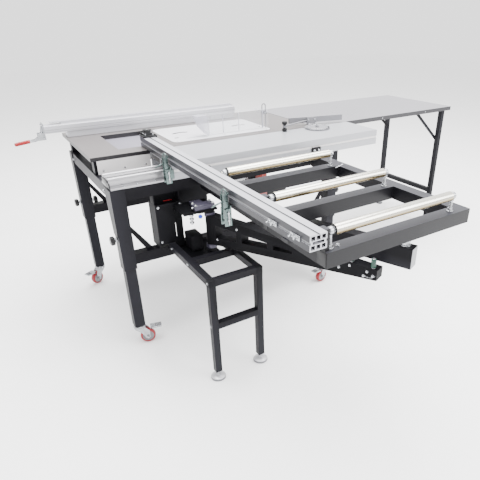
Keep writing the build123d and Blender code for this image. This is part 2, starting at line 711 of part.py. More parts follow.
# ---- rip fence with its toggle clamp -------------------------------------------------------
rip_mid = rip_front + rip_width / 2
rip_low = table_top + gap
rip_back = rip_front + rip_width
foot_top = rip_low + 30
rip_top = table_top + rip_height
beam_top = rip_top - 13
with BuildPart() as rip_fence:
    with BuildSketch(Plane.YZ.offset(rip_left)):
        with Locations((rip_mid, (foot_top + beam_top) / 2)):
            RectangleRounded(rip_width, beam_top - foot_top, 3)
    extrude(amount=rip_right - rip_left)
    block((main_left + 6, rip_right), shrunk((rip_front, rip_back), 6), (rip_low, foot_top + 1))
    web = [(rip_left + 88, beam_top - 1), (rip_left + 88, rip_top - 5), (rip_left + 36, rip_top - 5),
           (rip_left + 36, rip_top), (rip_right - 12, rip_top), (rip_right, rip_top - 10),
           (rip_right, beam_top - 1)]
    plate_xz(web, (rip_back - 34, rip_back))
    for y in ((rip_front + 4, rip_mid - 2), (rip_mid + 2, rip_back - 4)):
        block((rip_left - 1, rip_right + 1), y, (foot_top + 4, beam_top - 4), Mode.SUBTRACT)
    web_hollow = (rip_left + 92, rip_right + 1)
    block(web_hollow, (rip_back - 30, rip_back - 4), (beam_top, rip_top - 4), Mode.SUBTRACT)
finish(rip_fence, "rip_fence")

toggle_x = rip_left - 26
toggle_z = table_top + 8
with BuildPart() as toggle_clamp:
    block((rip_left - 6, rip_left), shrunk((rip_front, rip_front + rip_width), 3), (rip_low, rip_top))
    for side in (-1, 1):
        block((toggle_x - 8, rip_left - 6), around(rip_mid + side * 14, 5), (toggle_z - 10, toggle_z + 26))
    along_y(toggle_x, around(rip_mid, 33), toggle_z, 4)
finish(toggle_clamp, "toggle_clamp")

tip_x = left_end
grip_x = left_end + 78
with BuildPart() as toggle_handle:
    arm_line = [(toggle_x + 9, toggle_z - 7), (toggle_x + 9, toggle_z + 8), (grip_x - 10, toggle_z - 6),
                (grip_x - 10, toggle_z - 16)]
    plate_xz(arm_line, around(rip_mid, 18))
    grip = Plane(origin=(grip_x, rip_mid, toggle_z - 11), x_dir=(0, 1, 0), z_dir=(-1, 0, -0.12))
    with BuildSketch(grip):
        Circle(10)
    extrude(amount=(grip_x - tip_x - 1.3) / cos(atan2(0.12, 1)))
    along_y(toggle_x, around(rip_mid, 20), toggle_z, 4 + fit, Mode.SUBTRACT)
finish(toggle_handle, "toggle_handle")

# ---- extension table -----------------------------------------------------------------------
extension_left = main_right + seam
extension_low = table_top - extension_thick
with BuildPart() as extension_table:
    block((extension_left, right_end), (table_front, back_end), (extension_low, table_top))
    half = (extension_left + right_end) / 2
    for x in ((extension_left + sheet, half - 20), (half + 20, right_end - 2 * extension_leg_inset)):
        block(x, shrunk((table_front, back_end), sheet), (extension_low, table_top - sheet), Mode.SUBTRACT)
    for y in (table_front + 150, back_end - 150):
        block((main_right - 24, extension_left + 30), around(y, 50), (extension_low - 12, extension_low))
        block((main_right - 24, main_right), around(y, 50), (extension_low, table_low))
finish(extension_table, "extension_table")

fold_x = right_end - extension_leg_inset
fold_z = extension_low - 20
leg_rows = (table_front + 51, back_end - 52)
with BuildPart() as extension_legs:
    tubes = []
    for y in leg_rows:
        tubes.append((around(fold_x, extension_leg), around(y, extension_leg), (30, fold_z + 12)))
    cross_y = (leg_rows[0] + extension_leg / 2, leg_rows[1] - extension_leg / 2)
    tubes.append((around(fold_x, extension_leg), cross_y, (255, 285)))
    weld(tubes, rail_wall)
    for y in leg_rows:
        upright(fold_x, y, (0, 12), extension_foot_radius)
        upright(fold_x, y, (12, 30), 8)
finish(extension_legs, "extension_legs")

brace_pivot_x = fold_x - 232
brace_pivot_z = extension_low - 10
brace_foot_z = brace_pivot_z - 203
with BuildPart() as extension_braces:
    rod_y = (cross_y[0] + 2, cross_y[1] - 2)
    along_y(brace_pivot_x, rod_y, brace_pivot_z, 6)
    run = hypot(fold_x - brace_pivot_x, brace_pivot_z - brace_foot_z)
    brace_dir = ((fold_x - brace_pivot_x) / run, (brace_foot_z - brace_pivot_z) / run)
    side_step = (-brace_dir[1] * 10, brace_dir[0] * 10)
    ends = [(brace_pivot_x, brace_pivot_z), (fold_x, brace_foot_z)]
    corners = ((ends[0], -1), (ends[1], -1), (ends[1], 1), (ends[0], 1))
    bar_line = [(end[0] + way * side_step[0], end[1] + way * side_step[1]) for end, way in corners]
    for y in ((rod_y[0], rod_y[0] + 4), (rod_y[1] - 4, rod_y[1])):
        plate_xz(bar_line, y)
finish(extension_braces, "extension_braces")

# ---- sliding inner legs, casters, brake pedals and leg knobs -------------------------------
caster_plane = {}
for name, (x, y, turn, side, height) in legs.items():
    trail_dir = (cos(radians(turn)), sin(radians(turn)), 0)
    caster_plane[name] = Plane(origin=(x, y, 0), x_dir=trail_dir, z_dir=(0, 0, 1))


def at(plane, along, across, up):
    """A place given along the trail, across it and up."""
    return plane.from_local_coords((along, across, up))


def across_bar(plane, along, up, half_width, radius, mode=Mode.ADD):
    """A round bar across the caster, such as its axle."""
    section = Plane(origin=at(plane, along, -half_width, up), x_dir=plane.x_dir, z_dir=plane.y_dir)
    with BuildSketch(section) as round_section:
        Circle(radius)
    extrude(round_section.sketch, amount=2 * half_width, mode=mode)


def side_plate(plane, points, near, width, mode=Mode.ADD):
    """A plate standing along the trail: outline in distance and height."""
    section = Plane(origin=at(plane, 0, near, 0), x_dir=plane.x_dir, z_dir=-plane.y_dir)
    with BuildSketch(section) as outline:
        Polygon(*points, align=None)
    extrude(outline.sketch, amount=-width, mode=mode)


cheek_in = wheel_width / 2 + 2
for name, (x, y, turn, side, height) in legs.items():
    plane = caster_plane[name]
    with BuildPart() as inner_leg:
        block(around(x, inner_tube), around(y, inner_tube), (leg_end, leg_overlap_top))
        bore = inner_tube - 2 * tube_wall
        block(around(x, bore), around(y, bore), (leg_end + leg_plug, leg_overlap_top), Mode.SUBTRACT)
        upright(x, y, (leg_end - 1, leg_end + leg_plug + 1), stem_radius + fit, Mode.SUBTRACT)
    finish(inner_leg, f"inner_leg_{name}")

    with BuildPart() as caster_fork:
        upright(x, y, (fork_top, leg_end + leg_plug - 2), stem_radius)
        upright(x, y, (fork_top - fork_plate_height, fork_top), 27)
        upright(x, y, (fork_top, leg_end - 0.6), 11)
        cheek = [(-22, fork_top - 8), (24, fork_top - 8), (caster_trail + 12, 70), (caster_trail + 9, 30),
                 (caster_trail - 9, 30), (8, 62), (-22, 88)]
        bridge = [(-22, fork_top - 8), (-22, fork_top), (24, fork_top), (24, fork_top - 8)]
        side_plate(plane, bridge, -cheek_in - fork_plate, 2 * (cheek_in + fork_plate))
        for near in (-cheek_in - fork_plate, cheek_in):
            side_plate(plane, cheek, near, fork_plate)
        across_bar(plane, caster_trail, wheel_radius, cheek_in + fork_plate + 4, axle_radius)
    finish(caster_fork, f"caster_fork_{name}")

    with BuildPart() as caster_wheel:
        across_bar(plane, caster_trail, wheel_radius, wheel_width / 2, wheel_radius)
        across_bar(plane, caster_trail, wheel_radius, wheel_width / 2, axle_radius + fit, Mode.SUBTRACT)
    finish(caster_wheel, f"caster_wheel_{name}")

    with BuildPart() as brake_pedal:
        pedal_at = caster_trail + 20
        pedal = [(pedal_at - 4, pedal_height - 5), (pedal_at - 4, pedal_height + 5),
                 (pedal_at + pedal_length, pedal_height + 5), (pedal_at + pedal_length, pedal_height)]
        side_plate(plane, pedal, -18, 36)
    finish(brake_pedal, f"brake_pedal_{name}")

    with BuildPart() as leg_knob:
        sides = (-1, 1) if name == "rear_left" else (side,)
        for way in sides:
            tip = x + way * (inner_tube / 2 + 0.6)
            collar = x + way * (half_leg + 1)
            seat = x + way * (half_leg + 12)
            end = seat + way * knob_depth
            along_x(sorted((tip, end)), y, height, stem_radius)
            along_x(sorted((collar, seat)), y, height, 11)
            along_x(sorted((seat, end)), y, height, knob_radius)
    finish(leg_knob, f"leg_knob_{name}")
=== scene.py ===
import json
from math import atan2, cos, pi, radians, sin

import bmesh
import bpy
from mathutils import Matrix, Vector


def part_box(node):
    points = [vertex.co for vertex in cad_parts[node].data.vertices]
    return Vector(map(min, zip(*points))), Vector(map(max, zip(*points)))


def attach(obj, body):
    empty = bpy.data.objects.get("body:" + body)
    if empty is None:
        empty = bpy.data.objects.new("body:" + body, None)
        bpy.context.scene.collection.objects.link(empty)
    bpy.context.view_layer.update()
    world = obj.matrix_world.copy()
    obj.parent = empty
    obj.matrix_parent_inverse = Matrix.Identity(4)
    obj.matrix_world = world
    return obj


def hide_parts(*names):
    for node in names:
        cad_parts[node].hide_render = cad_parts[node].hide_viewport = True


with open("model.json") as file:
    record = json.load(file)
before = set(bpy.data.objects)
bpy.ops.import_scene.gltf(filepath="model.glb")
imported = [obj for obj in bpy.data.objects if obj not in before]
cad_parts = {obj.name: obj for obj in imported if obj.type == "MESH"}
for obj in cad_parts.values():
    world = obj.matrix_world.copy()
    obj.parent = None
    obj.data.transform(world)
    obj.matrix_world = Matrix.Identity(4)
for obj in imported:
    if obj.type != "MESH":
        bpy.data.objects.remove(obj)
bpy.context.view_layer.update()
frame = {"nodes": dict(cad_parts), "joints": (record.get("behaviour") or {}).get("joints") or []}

joints = {joint["name"]: joint for joint in frame["joints"]}
LEGS = ("front_left", "front_right", "rear_left", "rear_right")
UP, LEFT, FRONT = (0, 0, 1), (-1, 0, 0), (0, -1, 0)
TABLE_TOP = 0.900

# ---- camera ---------------------------------------------------------------------------------
EYE = Vector((-1.530, -1.880, 1.475))
LOOK_TURN = radians(33.5)
LOOK_DOWN = radians(27.88)
camera_data = bpy.data.cameras.new("camera")
camera_data.lens = 35.1
camera_data.sensor_width = 36
camera_data.shift_x = -0.0917
camera_data.shift_y = 0.046
camera = bpy.data.objects.new("camera", camera_data)
camera.location = EYE
camera.rotation_euler = (pi / 2 - LOOK_DOWN, 0, -LOOK_TURN)
bpy.context.collection.objects.link(camera)
bpy.context.scene.camera = camera


# ---- materials ------------------------------------------------------------------------------
def surface(name, colour, rough=0.45, metal=0.0, mottle=0.08, mottle_scale=6.0, grain=400.0, bump=0.15,
            stretch=(1, 1, 1), edge=0.0, edge_colour=(0.4, 0.4, 0.42), fine=0.0, shine=0.5,
            sides=None, side_axis="Z", side_span=(0.55, 0.75), above=None):
    """A painted, plated or moulded finish: cloudy colour, fine relief, and wear where edges are rubbed.

    sides tints the faces that look away from side_axis: a real edge colour on some finishes, painted
    shade or a painted reflection on others; above is a height span and the colour over it.
    """
    made = bpy.data.materials.new(name)
    made.use_nodes = True
    nodes, links = made.node_tree.nodes, made.node_tree.links
    shader = nodes["Principled BSDF"]
    place = nodes.new("ShaderNodeTexCoord")
    spread = nodes.new("ShaderNodeMapping")
    spread.inputs["Scale"].default_value = stretch
    links.new(place.outputs["Object"], spread.inputs["Vector"])
    cloud = nodes.new("ShaderNodeTexNoise")
    cloud.inputs["Scale"].default_value = mottle_scale
    cloud.inputs["Detail"].default_value = 6
    links.new(spread.outputs["Vector"], cloud.inputs["Vector"])
    tint = nodes.new("ShaderNodeValToRGB")
    tint.color_ramp.elements[0].position = 0.3
    tint.color_ramp.elements[1].position = 0.7
    tint.color_ramp.elements[0].color = [c * (1 - mottle) for c in colour] + [1]
    tint.color_ramp.elements[1].color = [min(1.0, c * (1 + mottle)) for c in colour] + [1]
    links.new(cloud.outputs["Fac"], tint.inputs["Fac"])
    out_colour = tint.outputs["Color"]
    specks = nodes.new("ShaderNodeTexNoise")
    specks.inputs["Scale"].default_value = grain
    specks.inputs["Detail"].default_value = 3
    links.new(spread.outputs["Vector"], specks.inputs["Vector"])
    if fine:
        lines = nodes.new("ShaderNodeMix")
        lines.data_type = "RGBA"
        lines.blend_type = "MULTIPLY"
        lines.inputs["Factor"].default_value = fine
        links.new(out_colour, lines.inputs["A"])
        grey = nodes.new("ShaderNodeValToRGB")
        grey.color_ramp.elements[0].color = (0.55, 0.55, 0.55, 1)
        grey.color_ramp.elements[1].color = (1, 1, 1, 1)
        grey.color_ramp.elements[0].position = 0.3
        grey.color_ramp.elements[1].position = 0.6
        links.new(specks.outputs["Fac"], grey.inputs["Fac"])
        links.new(grey.outputs["Color"], lines.inputs["B"])
        out_colour = lines.outputs["Result"]
    if edge:
        shape = nodes.new("ShaderNodeNewGeometry")
        worn = nodes.new("ShaderNodeValToRGB")
        worn.color_ramp.elements[0].position = 0.53
        worn.color_ramp.elements[1].position = 0.62
        worn.color_ramp.elements[1].color = (edge, edge, edge, 1)
        links.new(shape.outputs["Pointiness"], worn.inputs["Fac"])
        rubbed = nodes.new("ShaderNodeMix")
        rubbed.data_type = "RGBA"
        rubbed.inputs["B"].default_value = (*edge_colour, 1)
        links.new(worn.outputs["Color"], rubbed.inputs["Factor"])
        links.new(out_colour, rubbed.inputs["A"])
        out_colour = rubbed.outputs["Result"]
    if sides or above:
        split = nodes.new("ShaderNodeSeparateXYZ")
        source = "Normal" if sides else "Object"
        links.new(place.outputs[source], split.inputs["Vector"])
        share = nodes.new("ShaderNodeMapRange")
        low, high, other = (*side_span, sides) if sides else above
        share.inputs["From Min"].default_value = low
        share.inputs["From Max"].default_value = high
        links.new(split.outputs[side_axis], share.inputs["Value"])
        part_tint = nodes.new("ShaderNodeMix")
        part_tint.data_type = "RGBA"
        links.new(share.outputs["Result"], part_tint.inputs["Factor"])
        if sides:
            part_tint.inputs["A"].default_value = (*other, 1)
            links.new(out_colour, part_tint.inputs["B"])
        else:
            part_tint.inputs["B"].default_value = (*other, 1)
            links.new(out_colour, part_tint.inputs["A"])
        out_colour = part_tint.outputs["Result"]
    links.new(out_colour, shader.inputs["Base Color"])
    shader.inputs["Specular IOR Level"].default_value = shine
    sheen = nodes.new("ShaderNodeMapRange")
    sheen.inputs["To Min"].default_value = max(0.02, rough - 0.08)
    sheen.inputs["To Max"].default_value = min(1.0, rough + 0.08)
    links.new(cloud.outputs["Fac"], sheen.inputs["Value"])
    links.new(sheen.outputs["Result"], shader.inputs["Roughness"])
    rounded = nodes.new("ShaderNodeBevel")
    rounded.samples = 4
    rounded.inputs["Radius"].default_value = 0.0018
    relief = nodes.new("ShaderNodeBump")
    relief.inputs["Strength"].default_value = bump
    relief.inputs["Distance"].default_value = 0.0006
    links.new(specks.outputs["Fac"], relief.inputs["Height"])
    links.new(rounded.outputs["Normal"], relief.inputs["Normal"])
    links.new(relief.outputs["Normal"], shader.inputs["Normal"])
    shader.inputs["Metallic"].default_value = metal
    return made


def clear_plastic(name, tint, rough, see_through):
    """Acrylic sheet: mostly see-through, with a faint haze that varies over the sheet."""
    made = bpy.data.materials.new(name)
    made.use_nodes = True
    nodes, links = made.node_tree.nodes, made.node_tree.links
    shader = nodes["Principled BSDF"]
    place = nodes.new("ShaderNodeTexCoord")
    haze = nodes.new("ShaderNodeTexNoise")
    haze.inputs["Scale"].default_value = 9
    haze.inputs["Detail"].default_value = 4
    links.new(place.outputs["Object"], haze.inputs["Vector"])
    veil = nodes.new("ShaderNodeMapRange")
    veil.inputs["To Min"].default_value = 1 - see_through - 0.04
    veil.inputs["To Max"].default_value = 1 - see_through + 0.06
    links.new(haze.outputs["Fac"], veil.inputs["Value"])
    links.new(veil.outputs["Result"], shader.inputs["Alpha"])
    colour = nodes.new("ShaderNodeValToRGB")
    colour.color_ramp.elements[0].color = [c * 0.94 for c in tint] + [1]
    colour.color_ramp.elements[1].color = [*tint, 1]
    links.new(haze.outputs["Fac"], colour.inputs["Fac"])
    links.new(colour.outputs["Color"], shader.inputs["Base Color"])
    shader.inputs["Roughness"].default_value = rough
    return made


BLACK_EDGE = (0.012, 0.011, 0.013)
# Painted shade: the dark tone given to the side faces of the outrigger tubes.
TUBE_SIDE_SHADE = (0.0052, 0.0050, 0.0066)
DARK = surface("dark_powder_coat", (0.0046, 0.0044, 0.0060), 0.40, mottle=0.2, grain=900, bump=0.22,
               shine=0.085, edge=0.3, edge_colour=(0.034, 0.034, 0.042))
# Outrigger: the frame's dark powder coat, with painted light on the tube tops (its lighter base colour)
# and painted shade on the side faces.
OUTRIGGER = surface("outrigger_powder_coat", (0.030, 0.030, 0.036), 0.38, mottle=0.2, grain=900,
                    bump=0.22, shine=0.2, edge=0.3, edge_colour=(0.040, 0.040, 0.050), sides=TUBE_SIDE_SHADE)
DARK_ARM = surface("black_powder_coat", (0.0040, 0.0040, 0.0050), 0.55, mottle=0.25, grain=900,
                   bump=0.22, shine=0.07, edge=0.3, edge_colour=(0.030, 0.030, 0.036))
TABLE = surface("table_grey", (0.120, 0.108, 0.107), 0.34, mottle=0.07, mottle_scale=3, grain=260,
                bump=0.05, stretch=(0.4, 1, 1), fine=0.15, sides=BLACK_EDGE)
TRAY = surface("tray_lavender", (0.20, 0.19, 0.23), 0.4, mottle=0.05, grain=300, bump=0.05, fine=0.08,
               sides=BLACK_EDGE)
WHITE = surface("insert_white", (0.62, 0.62, 0.65), 0.30, mottle=0.03, grain=300, bump=0.04, fine=0.06,
                above=(0.9010, 0.9016, (0.11, 0.11, 0.13)))
APRON = surface("apron_off_white", (0.62, 0.60, 0.60), 0.4, mottle=0.04, grain=350, bump=0.05)
PALE = surface("extension_grey", (0.21, 0.205, 0.222), 0.30, mottle=0.05, mottle_scale=2.5, grain=280,
               bump=0.05, fine=0.10, sides=(0.022, 0.021, 0.025))
RAIL = surface("rail_aluminium", (0.40, 0.395, 0.41), 0.30, metal=0.7, mottle=0.10, grain=700,
               bump=0.12, stretch=(0.04, 1, 1), fine=0.40)
SLIDE = surface("carriage_aluminium", (0.38, 0.385, 0.41), 0.32, metal=0.25, mottle=0.03, grain=700,
                bump=0.08, stretch=(0.03, 1, 1), fine=0.14)
# Crosscut fence: faces that look to the left (-X) take painted shade, far darker than the lit
# aluminium.
FENCE_ALU = surface("fence_aluminium", (0.50, 0.50, 0.54), 0.30, metal=0.2, mottle=0.05, grain=700,
                    bump=0.10, stretch=(1, 0.03, 1), fine=0.28, sides=(0.030, 0.030, 0.035),
                    side_axis="X", side_span=(-0.8, -0.5), shine=0.25)
RIP_ALU = surface("rip_fence_aluminium", (0.50, 0.50, 0.53), 0.32, metal=0.3, mottle=0.05, grain=700,
                  bump=0.08, stretch=(0.03, 1, 1), fine=0.20)
# Mitre gauge: faces that don't look up take painted shade, darker than the lit top.
GAUGE_ALU = surface("gauge_aluminium", (0.30, 0.30, 0.32), 0.34, metal=0.35, mottle=0.08, grain=700,
                    bump=0.08, fine=0.25, sides=(0.19, 0.19, 0.205))
# Rollers: downward-facing faces take a painted warm reflection, a brown-gold tint under the pale steel
# of the upper faces.
ROLLER = surface("roller_steel", (0.74, 0.72, 0.64), 0.20, metal=0.85, mottle=0.05, grain=500,
                 bump=0.04, stretch=(0.3, 1, 1), fine=0.10, sides=(0.17, 0.125, 0.055),
                 side_span=(-0.25, 0.40))
ZINC = surface("zinc_plate", (0.42, 0.43, 0.45), 0.26, metal=0.85, mottle=0.16, mottle_scale=40,
               grain=600, bump=0.08)
ZINC_GREEN = surface("latch_zinc", (0.11, 0.15, 0.145), 0.28, metal=0.8, mottle=0.30, mottle_scale=60,
                     grain=600, bump=0.1)
BRACKET = surface("bracket_yellow_zinc", (0.085, 0.09, 0.045), 0.34, metal=0.5, mottle=0.25,
                  mottle_scale=30, grain=600)
BEARING = surface("bearing_block_grey", (0.050, 0.045, 0.070), 0.36, metal=0.3, mottle=0.15, grain=600)
STEEL = surface("blade_steel", (0.50, 0.50, 0.52), 0.25, metal=0.9, mottle=0.05, mottle_scale=20,
                grain=900, fine=0.15)
TREAD = surface("red_tread", (0.26, 0.006, 0.012), 0.35, mottle=0.12, mottle_scale=40, grain=700,
                bump=0.15)
GRIP = surface("red_grip", (0.28, 0.004, 0.007), 0.30, mottle=0.15, mottle_scale=30, grain=500,
               bump=0.1)
RUBBER = surface("black_rubber", (0.010, 0.010, 0.011), 0.6, mottle=0.15, grain=600, bump=0.25,
                 shine=0.25)
BLACK = surface("black_moulding", (0.007, 0.007, 0.008), 0.34, mottle=0.12, grain=900, bump=0.12,
                shine=0.3)
# Dark tone used both for printed graduation marks and for painted shadow in the insert's seam.
INK_AND_SEAM_SHADE = surface("ink_and_seam_shade", (0.006, 0.0055, 0.007), 0.8, mottle=0.2, grain=300, shine=0.1)
ORANGE = surface("orange_red_paint", (0.36, 0.022, 0.008), 0.42, mottle=0.12, grain=700, bump=0.12,
                 edge=0.2)
GREEN = surface("green_moulding", (0.002, 0.036, 0.022), 0.4, mottle=0.15, grain=700, bump=0.12)
BLUE = surface("blue_moulding", (0.004, 0.030, 0.42), 0.35, mottle=0.10, grain=700)
FOOT = surface("foot_grey", (0.14, 0.14, 0.155), 0.36, metal=0.35, mottle=0.12, grain=500)
FOOT_TOP = surface("foot_pale", (0.50, 0.50, 0.52), 0.32, metal=0.35, mottle=0.08, grain=500)
HUB = surface("hub_grey", (0.20, 0.205, 0.215), 0.4, metal=0.3, mottle=0.10, grain=500)
CLEAR = clear_plastic("clear_sheet", (0.70, 0.71, 0.74), 0.08, 0.93)
MILKY = clear_plastic("milky_sheet", (0.60, 0.60, 0.67), 0.25, 0.62)

NODE_FINISH = {
    "front_frame": DARK, "rear_frame": DARK, "side_rails": DARK, "hinge_box": DARK_ARM,
    "step_frame": DARK,
    "saw_mount": DARK_ARM, "saw_carrier": DARK_ARM, "arm_outer": DARK_ARM, "arm_inner": DARK,
    "outrigger_frame": OUTRIGGER, "extension_legs": DARK, "extension_braces": DARK, "main_table": TABLE,
    "recess_plate": TRAY, "insert_plate": WHITE, "apron_panel": APRON, "extension_table": PALE,
    "guide_rail": RAIL, "carriage": SLIDE, "crosscut_fence": FENCE_ALU, "rip_fence": RIP_ALU,
    "mitre_gauge": GAUGE_ALU, "motor": BEARING, "arbor": ZINC, "saw_blade": STEEL, "lift_screw": ZINC,
    "roller_posts": ZINC, "latch_bases": ZINC_GREEN, "latch_lever_rear": ZINC_GREEN,
    "latch_lever_front": ZINC_GREEN, "toggle_clamp": ZINC, "flip_stop": BLACK,
}
for leg in LEGS:
    NODE_FINISH[f"inner_leg_{leg}"] = DARK
    NODE_FINISH[f"caster_fork_{leg}"] = ZINC
    NODE_FINISH[f"brake_pedal_{leg}"] = ZINC
for number in (1, 2, 3):
    NODE_FINISH[f"roller_{number}"] = ROLLER
for node, finish in NODE_FINISH.items():
    shown = frame["nodes"][node]
    shown.data.materials.clear()
    shown.data.materials.append(finish)


# ---- mesh helpers ---------------------------------------------------------------------------
def towards(direction):
    """The turn that lays a shape's own Z along a direction."""
    return Vector(direction).to_track_quat("Z", "Y").to_matrix().to_4x4()


def rod(bm, start, end, radius, sides=24, radius_end=None):
    """A round bar between two points."""
    start, end = Vector(start), Vector(end)
    place = Matrix.Translation((start + end) / 2) @ towards(end - start)
    bmesh.ops.create_cone(bm, cap_ends=True, segments=sides, radius1=radius,
                          radius2=radius if radius_end is None else radius_end,
                          depth=(end - start).length, matrix=place)


def slab(bm, low, high, round_off=0.0008):
    """An upright block with rounded edges, from its low and high corners."""
    low, high = Vector(low), Vector(high)
    size = high - low
    place = Matrix.Translation((low + high) / 2) @ Matrix.Diagonal((size.x, size.y, size.z, 1))
    made = bmesh.ops.create_cube(bm, size=1, matrix=place)
    edges = list({edge for vert in made["verts"] for edge in vert.link_edges})
    if round_off:
        bmesh.ops.bevel(bm, geom=edges, offset=min(round_off, min(size) * 0.4), segments=2,
                        affect="EDGES", profile=0.6)


def turned(bm, outline, place, sides=32):
    """A lathe-turned solid: radius and height pairs, turned about the place's own Z."""
    rings = []
    for radius, height in outline:
        if radius < 1e-6:
            rings.append([bm.verts.new(place @ Vector((0, 0, height)))])
        else:
            rings.append([bm.verts.new(place @ Vector((radius * cos(2 * pi * i / sides),
                                                       radius * sin(2 * pi * i / sides), height)))
                          for i in range(sides)])
    for low, high in zip(rings, rings[1:]):
        for i in range(sides):
            j = (i + 1) % sides
            corners = [low[i % len(low)], low[j % len(low)], high[j % len(high)], high[i % len(high)]]
            unique = list(dict.fromkeys(corners))
            if len(unique) > 2:
                bm.faces.new(unique)


def bolt(bm, point, normal, size=0.006):
    """A hex bolt head on its washer, standing on a face."""
    point, normal = Vector(point), Vector(normal).normalized()
    rod(bm, point, point + normal * size * 0.28, size * 1.25, 20)
    rod(bm, point + normal * size * 0.28, point + normal * size * 1.0, size, 6)
    rod(bm, point + normal * size * 1.0, point + normal * size * 1.12, size * 0.96, 6, size * 0.8)


def plate(bm, outline, place, thickness):
    """A flat plate of any outline, standing on the place's own XY."""
    low = [bm.verts.new(place @ Vector((x, y, 0))) for x, y in outline]
    high = [bm.verts.new(place @ Vector((x, y, thickness))) for x, y in outline]
    bm.faces.new(list(reversed(low)))
    bm.faces.new(high)
    count = len(outline)
    for i in range(count):
        j = (i + 1) % count
        bm.faces.new((low[i], low[j], high[j], high[i]))


def done(bm, name, body, finish, smooth=True, replaces=()):
    """Turns a mesh into a named piece that rides on its body."""
    bmesh.ops.recalc_face_normals(bm, faces=bm.faces)
    data = bpy.data.meshes.new(name)
    bm.to_mesh(data)
    bm.free()
    piece = bpy.data.objects.new(name, data)
    bpy.context.collection.objects.link(piece)
    data.materials.append(finish)
    if smooth:
        for face in data.polygons:
            face.use_smooth = True
        data.set_sharp_from_angle(angle=radians(35))
    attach(piece, body)
    if replaces:
        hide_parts(*replaces)
    return piece


def wire(name, points, radius, body, finish, closed=False):
    """A bent wire through a few points."""
    data = bpy.data.curves.new(name, "CURVE")
    data.dimensions = "3D"
    data.bevel_depth = radius
    data.bevel_resolution = 4
    data.use_fill_caps = True
    line = data.splines.new("NURBS")
    line.points.add(len(points) - 1)
    for spot, point in zip(line.points, points):
        spot.co = (*point, 1)
    line.order_u = 3
    line.use_endpoint_u = not closed
    line.use_cyclic_u = closed
    piece = bpy.data.objects.new(name, data)
    bpy.context.collection.objects.link(piece)
    data.materials.append(finish)
    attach(piece, body)
    return piece


def star_knob(bm, place, radius, depth, lobes=6):
    """A hand knob with finger lobes, its face along the place's own Z."""
    around = lobes * 10
    levels = ((0.0, 0.80), (0.12, 0.96), (0.30, 1.0), (0.72, 1.0), (0.90, 0.93), (1.0, 0.78))
    rings = []
    for height, share in levels:
        ring = []
        for i in range(around):
            turn = 2 * pi * i / around
            reach = radius * share * (1 - 0.11 * (0.5 - 0.5 * cos(lobes * turn)))
            spot = Vector((reach * cos(turn), reach * sin(turn), height * depth))
            ring.append(bm.verts.new(place @ spot))
        rings.append(ring)
    for low, high in zip(rings, rings[1:]):
        for i in range(around):
            j = (i + 1) % around
            bm.faces.new((low[i], low[j], high[j], high[i]))
    bm.faces.new(list(reversed(rings[0])))
    bm.faces.new(rings[-1])


# ---- casters: tread, hub, brake and swivel race ---------------------------------------------
def caster(leg):
    """The wheel in two parts, and the details of its fork and brake pedal."""
    wheel = f"caster_wheel_{leg}"
    spin = joints[f"caster_roll_{leg}"]
    centre = Vector(spin["pos_m"])
    across = Vector(spin["axis"])
    place = Matrix.Translation(centre) @ towards(across)
    radius, half = 0.0375, 0.013
    bm = bmesh.new()
    tread = [(0.028, -half + 0.001), (0.031, -half), (0.0345, -half + 0.001), (0.0368, -half * 0.6),
             (radius, -half * 0.2), (radius, half * 0.2), (0.0368, half * 0.6), (0.0345, half - 0.001),
             (0.031, half), (0.028, half - 0.001), (0.028, -half + 0.001)]
    turned(bm, tread, place, 48)
    done(bm, f"tread_{leg}", wheel, TREAD, replaces=(wheel,))
    bm = bmesh.new()
    hub = [(0.0045, -half + 0.0005), (0.010, -half + 0.0005), (0.011, -half + 0.003),
           (0.0245, -half + 0.004), (0.0255, -half + 0.0015), (0.0285, -half + 0.0015),
           (0.0285, half - 0.0015), (0.0255, half - 0.0015), (0.0245, half - 0.004),
           (0.011, half - 0.003), (0.010, half - 0.0005), (0.0045, half - 0.0005),
           (0.0045, -half + 0.0005)]
    turned(bm, hub, place, 40)
    for i in range(5):
        turn = 2 * pi * i / 5
        for side in (-1, 1):
            start = place @ Vector((0.010 * cos(turn), 0.010 * sin(turn), side * (half - 0.0036)))
            end = place @ Vector((0.0248 * cos(turn), 0.0248 * sin(turn), side * (half - 0.0040)))
            rod(bm, start, end, 0.0016, 8)
    done(bm, f"hub_{leg}", wheel, HUB)
    fork = f"caster_fork_{leg}"
    swivel = Vector(joints[f"caster_swivel_{leg}"]["pos_m"])
    bm = bmesh.new()
    race = [(0.020, -0.0135), (0.0275, -0.0125), (0.0292, -0.0085), (0.0292, -0.0065), (0.0275, -0.004),
            (0.0285, -0.002), (0.026, 0.0012), (0.013, 0.0022), (0.0115, 0.0022)]
    turned(bm, race, Matrix.Translation(swivel), 40)
    for side in (-1, 1):
        bolt(bm, centre + across * side * 0.0215, across * side, 0.0062)
    done(bm, f"swivel_race_{leg}", fork, ZINC)
    pedal = joints[f"brake_press_{leg}"]
    pivot = Vector(pedal["pos_m"])
    out = across.cross(Vector((0, 0, 1))).normalized()
    trail = (centre - swivel)
    trail.z = 0
    if out.dot(trail) < 0:
        out = -out
    bm = bmesh.new()
    for i in range(4):
        ridge = pivot + out * (0.024 + 0.007 * i) + Vector((0, 0, 0.0052))
        rod(bm, ridge - across * 0.015, ridge + across * 0.015, 0.0012, 8)
    rod(bm, pivot - across * 0.0205, pivot + across * 0.0205, 0.0030, 16)
    done(bm, f"pedal_ridges_{leg}", f"brake_pedal_{leg}", RUBBER)


for leg in LEGS:
    caster(leg)


# ---- leg lock knobs -------------------------------------------------------------------------
LEG_HALF = 0.030
KNOB_DEPTH = 0.020


